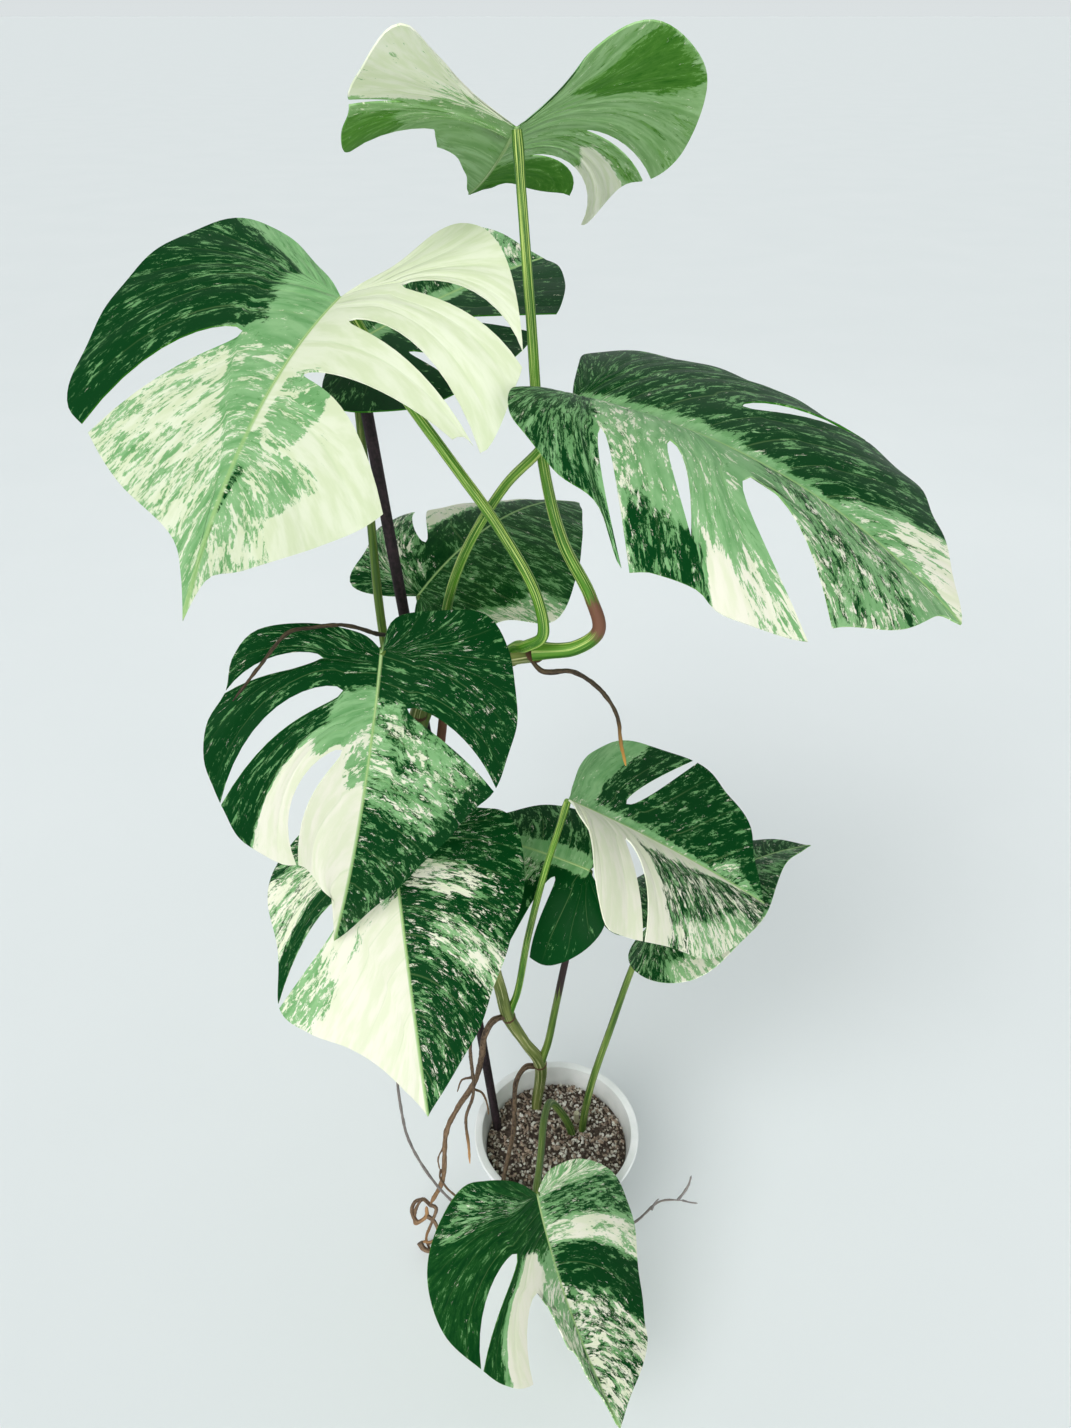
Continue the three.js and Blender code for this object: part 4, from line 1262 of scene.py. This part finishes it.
# %% Petioles and midribs
# The way of each from the vine, its radii at both ends, its finish, and how worn it is along it.
PETIOLES = {
    "top": ([
        (-20, -3, 597), (6, -4, 600), (19, -3, 611), (14, 3, 630), (-3, 8, 664), (-14, 16, 708),
        (-21, 26, 789),
    ], (4.8, 2.4), petiole_green, [
        (0, 0.1), (0.1, 0.2), (0.16, 0.8), (0.24, 0.3), (0.3, 0), (1, 0),
    ]),
    "upper_left": ([
        (-38, 21, 579), (-29, 4, 596), (-23, -12, 606), (-14, -15, 614), (-17, -6, 634),
        (-38, 6, 671), (-65, 16, 708), (-88, 24, 739),
    ], (3.8, 2.8), petiole_green, [(0, 0.2), (0.1, 0), (1, 0)]),
    "upper_back": ([
        (-82, 29, 452), (-95, 20, 474), (-108, 26, 530), (-116, 42, 600), (-121, 70, 660),
        (-128, 104, 716),
    ], (3.2, 2.4), petiole_olive, [(0, 0.5), (0.3, 0.2), (1, 0)]),
    "right": ([
        (-86, 30, 478), (-80, 42, 520), (-74, 38, 600), (-60, 32, 645), (-36, 26, 688),
        (-15, 6, 718), (-4, -1, 737),
    ], (3.2, 2.6), petiole_green, [(0, 0.8), (0.35, 0.6), (0.5, 0.2), (1, 0)]),
    "middle_back": ([
        (-95, 35, 514), (-84, 48, 540), (-90, 82, 561),
    ], (3.2, 2.2), petiole_olive, [(0, 0.3), (1, 0)]),
    "middle_left": ([
        (-86, 30, 466), (-91, 8, 500), (-100, -4, 550), (-105, -12, 586),
    ], (3.4, 2.6), petiole_olive, [(0, 0.4), (1, 0)]),
    "lower_left": ([
        (-57, 21, 332), (-74, 14, 360), (-96, 12, 400), (-110, 11, 430),
    ], (3.4, 2.6), petiole_olive, [(0, 0.4), (1, 0)]),
    "lower_back": ([
        (-14, 35, 164), (-8, 36, 186), (-2, 36, 230), (6, 36, 290), (14, 36, 340),
    ], (3.4, 2.4), petiole_olive, [(0, 0.3), (0.3, 0.25), (0.5, 0.75), (0.9, 0.8), (1, 0.5)]),
    "lower_right": ([
        (-40, 26, 238), (-33, 25, 262), (-24, 20, 330), (-12, 15, 400), (-2, 12, 446),
    ], (3, 2.2), petiole_green, [(0, 0.4), (0.3, 0.1), (1, 0)]),
    "lower_right_back": ([
        (23, 12, 60), (23, 12, 106), (29, 15, 160), (44, 21, 230), (57, 25, 290),
    ], (3.5, 2.4), petiole_olive, [(0, 0.6), (0.1, 0.3), (0.3, 0), (1, 0)]),
    "bottom": ([
        (14, 8, 60), (13, 8, 106), (2, 8, 136), (-6, 0, 157), (-11, -24, 170), (-14, -64, 181),
    ], (3.6, 2.6), petiole_olive, [(0, 0.6), (0.3, 0.3), (0.6, 0.1), (1, 0)]),
}
FOOT_SWELLING = 0.3
KNEE_SWELLING = 0.22
FOOT_LENGTH = 9
KNEE_LENGTH = 8
SEAT_GAP = 0.3
MIDRIB_FOOT = 1.1
MIDRIB_TIP = 0.3
MIDRIB_SINK = 0.15
MIDRIB_REACH = 0.985
MIDRIB_TAPER = 0.7
MIDRIB_POINTS = 60


def seat_under(leaf):
    """Just under the blade, where its midrib starts."""
    drop = np.array([[0, 0, -(BLADE_THICKNESS / 2 + SEAT_GAP)]])
    return turned(leaf, drop)[0]


for leaf_name, (way, radii, finish, wear_stops) in PETIOLES.items():
    leaf = LEAVES[leaf_name]
    path, places = smooth_path([*way, seat_under(leaf)], 1.6)
    travelled = travelled_along(path)
    share = travelled / travelled[-1]
    girth = np.interp(places, [0, len(way)], radii)
    girth = girth * (1 + FOOT_SWELLING * np.exp(-((travelled / FOOT_LENGTH) ** 2)))
    from_top = travelled[-1] - travelled
    girth = girth * (1 + KNEE_SWELLING * np.exp(-(((from_top - KNEE_LENGTH) / KNEE_LENGTH) ** 2)))
    wear = np.interp(share, *zip(*wear_stops))
    ways = [(path, girth, wear)]
    stalk = make_stalk(f"petiole_of_{leaf_name}", ways, finish, 16, 0.00025, 260)
    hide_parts(f"petiole_{leaf_name}")

    y = np.linspace(0.5, leaf["length"] * MIDRIB_REACH, MIDRIB_POINTS)
    across = np.zeros_like(y)
    sunk = bent(leaf, across, y) - bent_normals(leaf, across, y) * MIDRIB_SINK
    rib_girth = mix(MIDRIB_FOOT, MIDRIB_TIP, (y / leaf["length"]) ** MIDRIB_TAPER)
    ways = [(turned(leaf, sunk), rib_girth, across)]
    midrib = make_stalk(f"midrib_of_{leaf_name}", ways, midrib_pale, 10)
print("petioles and midribs", 2 * len(PETIOLES))

# %% [markdown]
# ## Aerial roots, stake and stub
#
# Aerial roots are brown, ringed and knobbly, and a live one ends in a lighter tip. The stake is a
# thin dark rod with a flat top, and the stub is what is left of a cut stem.

# %% Roots
ROOTS = {
    "root_upper_node": ([
        (-22, -4, 594), (-14, -11, 588), (4, -15, 590), (20, -22, 582), (30, -28, 568),
        (33, -35, 551), (36, -39, 539),
    ], (1.7, 1), root_dark, [(0, 0), (0.72, 0), (1, 1)]),
    "root_over_leaf": ([
        (-96, 35, 524), (-100, 26, 556), (-106, 19, 592), (-112, -3, 609), (-127, -30, 630),
        (-142, -37, 632), (-152, -46, 634), (-167, -59, 620), (-181, -69, 605),
    ], (1.4, 0.9), root_dark, [(0, 0), (1, 0)]),
    "root_long_left": ([
        (-40, 26, 236), (-52, 16, 241), (-59, 12, 228), (-62, 8, 206), (-69, 8, 173),
        (-84, 4, 144), (-94, -2, 120), (-99, -15, 69), (-111, -21, 41),
    ], (2.8, 2), root_bark, [(0, 0), (0.8, 0.1), (1, 0.3)]),
    "root_over_rim": ([
        (-16, 35, 158), (-26, 32, 162), (-34, 23, 156), (-36, 5, 147), (-36, -14, 141),
        (-40, -34, 136), (-44, -54, 132), (-48, -74, 126),
    ], (2.4, 1.8), root_bark, [(0, 0), (1, 0)]),
    "root_hanging": ([
        (-56, 21, 322), (-66, 8, 290), (-70, 0, 230), (-69, -8, 179), (-75, -17, 161),
        (-73, -28, 140), (-72, -36, 127),
    ], (1.8, 1), root_bark, [(0, 0), (0.85, 0), (1, 1)]),
    "root_long_grey": ([
        (-57, 21, 334), (-84, 8, 300), (-112, 24, 240), (-136, 36, 180), (-133, 13, 114),
        (-126, -1, 100), (-102, -30, 86), (-72, -58, 88), (-30, -84, 92), (20, -84, 90),
        (63, -60, 80), (89, -36, 72), (110, -33, 68),
    ], (1.4, 0.9), root_grey, [(0, 0), (1, 0.3)]),
}
# Thin side roots: points of the way, radii at its ends and the lightness of its tip.
SIDE_ROOTS = {
    "root_long_left": [
        ([
            (-111, -21, 41), (-117, -20, 48), (-124, -24, 36), (-124, -29, 25), (-113, -28, 35),
        ], (1.9, 1.2), 0.5),
        ([
            (-117, -20, 48), (-124, -20, 44), (-127, -24, 36), (-122, -29, 28), (-114, -27, 34),
            (-114, -23, 42),
        ], (2, 1.5), 0.6),
        ([
            (-113, -28, 35), (-107, -31, 32), (-104, -35, 22), (-109, -39, 14), (-118, -38, 12),
        ], (1.8, 1.2), 0.5),
        ([(-120, -39, 12), (-117, -42, 8), (-111, -43, 6), (-105, -41, 10)], (2.9, 1.6), 0),
        ([(-109, -39, 14), (-113, -38, 6), (-108, -45, 4), (-102, -47, 3)], (1.5, 0.8), 0.2),
        ([
            (-111, -21, 41), (-105, -26, 44), (-109, -30, 30), (-115, -34, 10), (-113, -38, 2),
        ], (1.9, 0.9), 0.6),
        ([
            (-100, -12, 80), (-101, -15, 74), (-95, -21, 67), (-85, -27, 58), (-91, -35, 39),
            (-102, -35, 33),
        ], (1.1, 0.7), 0.4),
        ([(-97, -6, 104), (-102, -9, 92), (-101, -13, 82)], (0.9, 0.6), 0.2),
    ],
    "root_hanging": [
        ([(-69, -6, 184), (-62, -4, 176), (-58, -6, 164), (-57, -8, 152)], (1.2, 0.6), 0.2),
        ([(-70, -4, 196), (-78, -2, 190), (-82, -6, 180)], (1.1, 0.6), 0.1),
    ],
    "root_long_grey": [
        ([(104, -33, 69), (107, -32, 74), (112, -30, 86), (114, -27, 95)], (1.2, 0.8), 0.2),
        ([(80, -45, 74), (83, -42, 80), (86, -41, 84)], (0.9, 0.6), 0.2),
        ([(108, -33, 68), (114, -36, 70), (120, -38, 72)], (0.9, 0.5), 0.4),
    ],
}
KNOB_SCALE = 0.13
KNOB_HEIGHT = 0.28
TIP_SHARE = 0.05
TIP_GIRTH = 0.35


def root_way(points, radii, wear_stops):
    path, places = smooth_path(points, 1.5)
    travelled = travelled_along(path)
    share = travelled / travelled[-1]
    girth = np.interp(places, [0, len(points) - 1], radii)
    knobs = np.array([noise.noise(Vector(point) * KNOB_SCALE) for point in path])
    taper = np.minimum(1, (1 - share) / TIP_SHARE + TIP_GIRTH)
    return path, girth * (1 + KNOB_HEIGHT * knobs) * taper, np.interp(share, *zip(*wear_stops))


for root_name, (way, radii, finish, wear_stops) in ROOTS.items():
    ways = [root_way(way, radii, wear_stops)]
    for points, side_radii, tip in SIDE_ROOTS.get(root_name, []):
        ways.append(root_way(points, side_radii, [(0, 0), (0.5, 0.1), (1, tip)]))
    piece = make_stalk(root_name.replace("root", "aerial_root"), ways, finish, 12, 0.0008, 380)
    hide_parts(root_name)
print("aerial roots", len(ROOTS))

# %% Stake and stub
STAKE_WAY = [(-48, 13, 68), (-84, 39, 420), (-116, 62, 720)]
STAKE_RADIUS = 3.6
STUB_WAY = [(18, 21, 62), (18, 21, 113)]
STUB_RADII = (2.6, 2.4)

stake_path, stake_places = smooth_path(STAKE_WAY, 8)
stake_ways = [(stake_path, stake_places * 0 + STAKE_RADIUS, stake_places * 0)]
stake = make_stalk("stake_rod", stake_ways, stake_wood, 24, 0.0001)
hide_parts("stake")
stub_path, stub_places = smooth_path(STUB_WAY, 2)
stub_girth = np.interp(stub_places, [0, 1], STUB_RADII)
stub = make_stalk("stub_cut", [(stub_path, stub_girth, stub_places * 0.3)], cut_stub, 16, 0.0004)
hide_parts("stub")

# %% [markdown]
# ## The pot
#
# A nursery pot is thin frosted plastic, formed over a mould: a tapered wall with faint rings, a
# wide rolled rim and a shallow hollow under its floor. A profile turned round the axis gives it,
# with enough segments to look round.

# %% Turned shapes
POT_HEIGHT = 120
POT_RIM_RADIUS = 70
POT_RIM_DROP = 5
POT_TOP_RADIUS = 65
POT_BASE_RADIUS = 47
POT_WALL = 1.4
POT_FLOOR = 2.4
POT_SEGMENTS = 128
SHARP_ANGLE = math.radians(40)


def turned_shape(name, profile, segments, finish):
    """A closed shape turned round Z from a profile that starts and ends on the axis."""
    points = [(0, 0, profile[0][1] * MM)]
    for radius, z in profile[1:-1]:
        for i in range(segments):
            angle = 2 * math.pi * i / segments
            points.append((radius * math.cos(angle) * MM, radius * math.sin(angle) * MM, z * MM))
    points.append((0, 0, profile[-1][1] * MM))
    faces = []
    rings = len(profile) - 2
    for i in range(segments):
        j = (i + 1) % segments
        faces.append((0, 1 + j, 1 + i))
        for ring in range(rings - 1):
            a, b = 1 + ring * segments, 1 + (ring + 1) * segments
            faces.append((a + i, a + j, b + j, b + i))
        top = 1 + (rings - 1) * segments
        faces.append((top + i, top + j, len(points) - 1))
    mesh = bpy.data.meshes.new(name)
    mesh.from_pydata(points, [], faces)
    mesh.polygons.foreach_set("use_smooth", [True] * len(faces))
    mesh.set_sharp_from_angle(angle=SHARP_ANGLE)
    mesh.materials.append(finish)
    shape = show(name, mesh)
    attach(shape, "root")
    return shape


def wall_radius(z):
    return mix(POT_BASE_RADIUS, POT_TOP_RADIUS, z / POT_HEIGHT)


def frosted_finish():
    """Milky plastic with faint clouds, greyer as painted shade where the damp mix lies behind it.
    """
    skin = Finish("frosted_plastic", Specular_IOR_Level=0.5, Coat_Weight=0.15, Coat_Roughness=0.3)
    place = skin.place()
    height = skin.parts(place)[2]
    mist = skin.clouds(place, 55, detail=4)
    # Painted shade: below the top of the mix the wall is greyed, for the dark mix behind the thin
    # plastic.
    below = 1 - (height + (mist - 0.5) * 0.02).rise(0.094, 0.106)
    painted = skin.blend(mist.rise(0.3, 0.7), (236, 239, 237), (246, 247, 246))
    painted = skin.blend(below * 0.55, painted, (168, 165, 158))
    skin.set("Base Color", painted)
    fine = skin.clouds(place, 700, detail=2)
    skin.set("Roughness", fine * 0.12 + 0.34)
    skin.bump(fine, 0.0002, 0.3)
    return skin.material

# %% The pot's profile
FOOT_HOLLOW = 1.2
RIM_ROUND = 0.7
FAINT_RING = 0.15
RING_SPACING = 12
rim_foot = POT_HEIGHT - POT_RIM_DROP
pot_profile = [(0, FOOT_HOLLOW), (38, FOOT_HOLLOW), (40, 0)]
pot_profile += [(POT_BASE_RADIUS - 1, 0), (POT_BASE_RADIUS, 0.8)]
for ring in range(6, 112, 2):
    pot_profile.append((wall_radius(ring) + (FAINT_RING if ring % RING_SPACING == 0 else 0), ring))
pot_profile += [
    (wall_radius(rim_foot), rim_foot),
    (POT_RIM_RADIUS - 1.2, rim_foot + 1.2),
    (POT_RIM_RADIUS, rim_foot + 1.9),
    (POT_RIM_RADIUS, POT_HEIGHT - RIM_ROUND),
    (POT_RIM_RADIUS - RIM_ROUND, POT_HEIGHT),
    (POT_TOP_RADIUS, POT_HEIGHT),
    (wall_radius(POT_HEIGHT) - POT_WALL, POT_HEIGHT - RIM_ROUND),
]
for z in range(108, int(POT_FLOOR), -RING_SPACING):
    pot_profile.append((wall_radius(z) - POT_WALL, z))
pot_profile += [(wall_radius(POT_FLOOR) - POT_WALL, POT_FLOOR), (0, POT_FLOOR)]
pot = turned_shape("nursery_pot", pot_profile, POT_SEGMENTS, frosted_finish())
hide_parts("pot")
print("pot", len(pot.data.polygons), "faces")

# %% [markdown]
# ## The potting mix
#
# The mix is bark, peat crumbs and white perlite. One plug has a lumpy top, and Geometry Nodes
# scatter four kinds of grain over it: each grain is a small rough stone, turned and sized at
# random from a fixed seed.

# %% The lumpy plug
MIX_TOP = 104
MIX_SHOULDER = 99
MIX_LUMP = 2.6
MIX_RINGS = 26
MIX_GAP = 0.6
LUMP_SCALE = 0.11
FINE_LUMP_SCALE = 0.3
LUMP_FADE = 8


def mix_finish(name, dark, light):
    skin = Finish(name, Specular_IOR_Level=0.25)
    place = skin.place()
    lumps = skin.clouds(place, 260, detail=5, roughness=0.7)
    grit = skin.clouds(place, 1500, detail=2)
    shade = (lumps * 0.6 + grit * 0.4).rise(0.36, 0.64)
    skin.set("Base Color", skin.blend(shade, dark, light))
    skin.set("Roughness", grit * 0.15 + 0.8)
    skin.bump(grit, 0.0006, 0.8)
    return skin.material


mix_profile = [(0, POT_FLOOR + 0.3)]
for z in (POT_FLOOR + 0.3, 30, 60, 90, MIX_SHOULDER):
    mix_profile.append((wall_radius(z) - POT_WALL - MIX_GAP, z))
edge_radius = wall_radius(MIX_SHOULDER) - POT_WALL - MIX_GAP
for ring in range(1, MIX_RINGS):
    part = ring / MIX_RINGS
    mix_profile.append((edge_radius * (1 - part), mix(MIX_SHOULDER, MIX_TOP, part**0.6)))
mix_profile.append((0, MIX_TOP))
peat = mix_finish("peat", (30, 24, 20), (92, 78, 68))
plug = turned_shape("potting_mix", mix_profile, 96, peat)
for vertex in plug.data.vertices:
    radius = math.hypot(vertex.co.x, vertex.co.y) / MM
    if vertex.co.z > (MIX_SHOULDER + 0.5) * MM:
        lump = noise.noise(vertex.co / MM * LUMP_SCALE)
        lump += 0.5 * noise.noise(vertex.co / MM * FINE_LUMP_SCALE)
        fade = min(1, (edge_radius - radius) / LUMP_FADE)
        vertex.co.z += (lump * MIX_LUMP - 0.5) * MM * fade
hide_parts("soil")

# %% The nodes that scatter grains
# Density is in grains per square metre. Sizes are half lengths in millimetres.
GRAINS = [
    ("peat_crumbs", 90000, (0.7, 0.7, 0.5), (1.7, 1.5, 1.2), 3),
    ("bark_chips", 26000, (1.8, 1.1, 0.7), (4.4, 2.6, 1.5), 5),
    ("perlite", 30000, (1.0, 1.0, 0.8), (2.4, 2.2, 1.8), 8),
    ("grit", 50000, (0.8, 0.7, 0.6), (1.9, 1.6, 1.3), 13),
]
GRAIN_FINISHES = [
    mix_finish("crumbs", (46, 38, 33), (174, 160, 144)),
    mix_finish("bark", (84, 66, 56), (208, 186, 166)),
    mix_finish("perlite", (200, 195, 184), (246, 243, 234)),
    mix_finish("grit", (140, 130, 118), (226, 216, 202)),
]
ROUGH_SCALE = 900
ROUGH_DEPTH = 0.0016
FACES_UP = 0.6


def grain_nodes():
    inputs = [
        ("Ground", "Geometry", None),
        ("Density", "Float", 10000.0),
        ("Smallest", "Vector", (0.001, 0.001, 0.001)),
        ("Largest", "Vector", (0.002, 0.002, 0.002)),
        ("Seed", "Int", 1),
    ]
    group = NodeGroup("grains", "Grains", inputs)
    add, given = group.add, group.given

    def at_random(low, high):
        values = {0: low, 1: high, "Seed": given.out("Seed")}
        return add("FunctionNodeRandomValue", {"data_type": "FLOAT_VECTOR"}, values, "Value")

    ground = {"Mesh": given.out("Ground")}
    ground |= {key: given.out(key) for key in ("Density", "Seed")}
    stone = {"Radius": 1, "Subdivisions": 1}
    grains = add(
        "GeometryNodeInstanceOnPoints",
        values={
            "Points": add("GeometryNodeDistributePointsOnFaces", values=ground),
            "Instance": add("GeometryNodeMeshIcoSphere", values=stone),
            "Rotation": at_random((0, 0, 0), (math.tau, math.tau, math.tau)),
            "Scale": at_random(given.out("Smallest"), given.out("Largest")),
        },
    )
    grains = group.edit("RealizeInstances", grains)
    rough = group.noise("Color", Scale=ROUGH_SCALE)
    rough = add("ShaderNodeVectorMath", {"operation": "SUBTRACT"}, {0: rough, 1: (0.5, 0.5, 0.5)})
    rough = add("ShaderNodeVectorMath", {"operation": "SCALE"}, {0: rough, "Scale": ROUGH_DEPTH})
    return group.finish(group.edit("SetPosition", grains, Offset=rough))


GRAIN_NODES = grain_nodes()

# %% Grains over the top of the potting mix
mix_top = [face for face in plug.data.polygons if face.normal.z > FACES_UP]
used = sorted({i for face in mix_top for i in face.vertices})
number = {old: new for new, old in enumerate(used)}
top_points = [plug.data.vertices[i].co[:] for i in used]
top_faces = [[number[i] for i in face.vertices] for face in mix_top]

for (name, density, smallest, largest, seed), finish in zip(GRAINS, GRAIN_FINISHES):
    ground = bpy.data.meshes.new(name)
    ground.from_pydata(top_points, [], top_faces)
    grains = show(name, ground)
    settings = {"Density": density, "Seed": seed, "Finish": finish}
    settings["Smallest"] = [value * MM for value in smallest]
    settings["Largest"] = [value * MM for value in largest]
    settled(grains, GRAIN_NODES, settings)
    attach(grains, "root")
    print(name, len(grains.data.polygons), "faces")

# %% [markdown]
# ## The floor
#
# A plain pale floor, wide enough to reach the horizon of the view.

# %% Floor
FLOOR_HALF_WIDTH = 150
FLOOR_DROP = 0.0002
square = ((-1, -1), (1, -1), (1, 1), (-1, 1))
floor_mesh = bpy.data.meshes.new("floor")
floor_mesh.from_pydata(
    [(x * FLOOR_HALF_WIDTH, y * FLOOR_HALF_WIDTH, -FLOOR_DROP) for x, y in square],
    [],
    [(0, 1, 2, 3)],
)
floor_finish = Finish("floor_paper", Roughness=0.7, Specular_IOR_Level=0.2)
floor_cloud = floor_finish.clouds(floor_finish.place(), 3, detail=3)
floor_colour = floor_finish.blend(floor_cloud, (230, 235, 235), (235, 239, 239))
floor_finish.set("Base Color", floor_colour)
floor_mesh.materials.append(floor_finish.material)
floor = show("floor", floor_mesh)
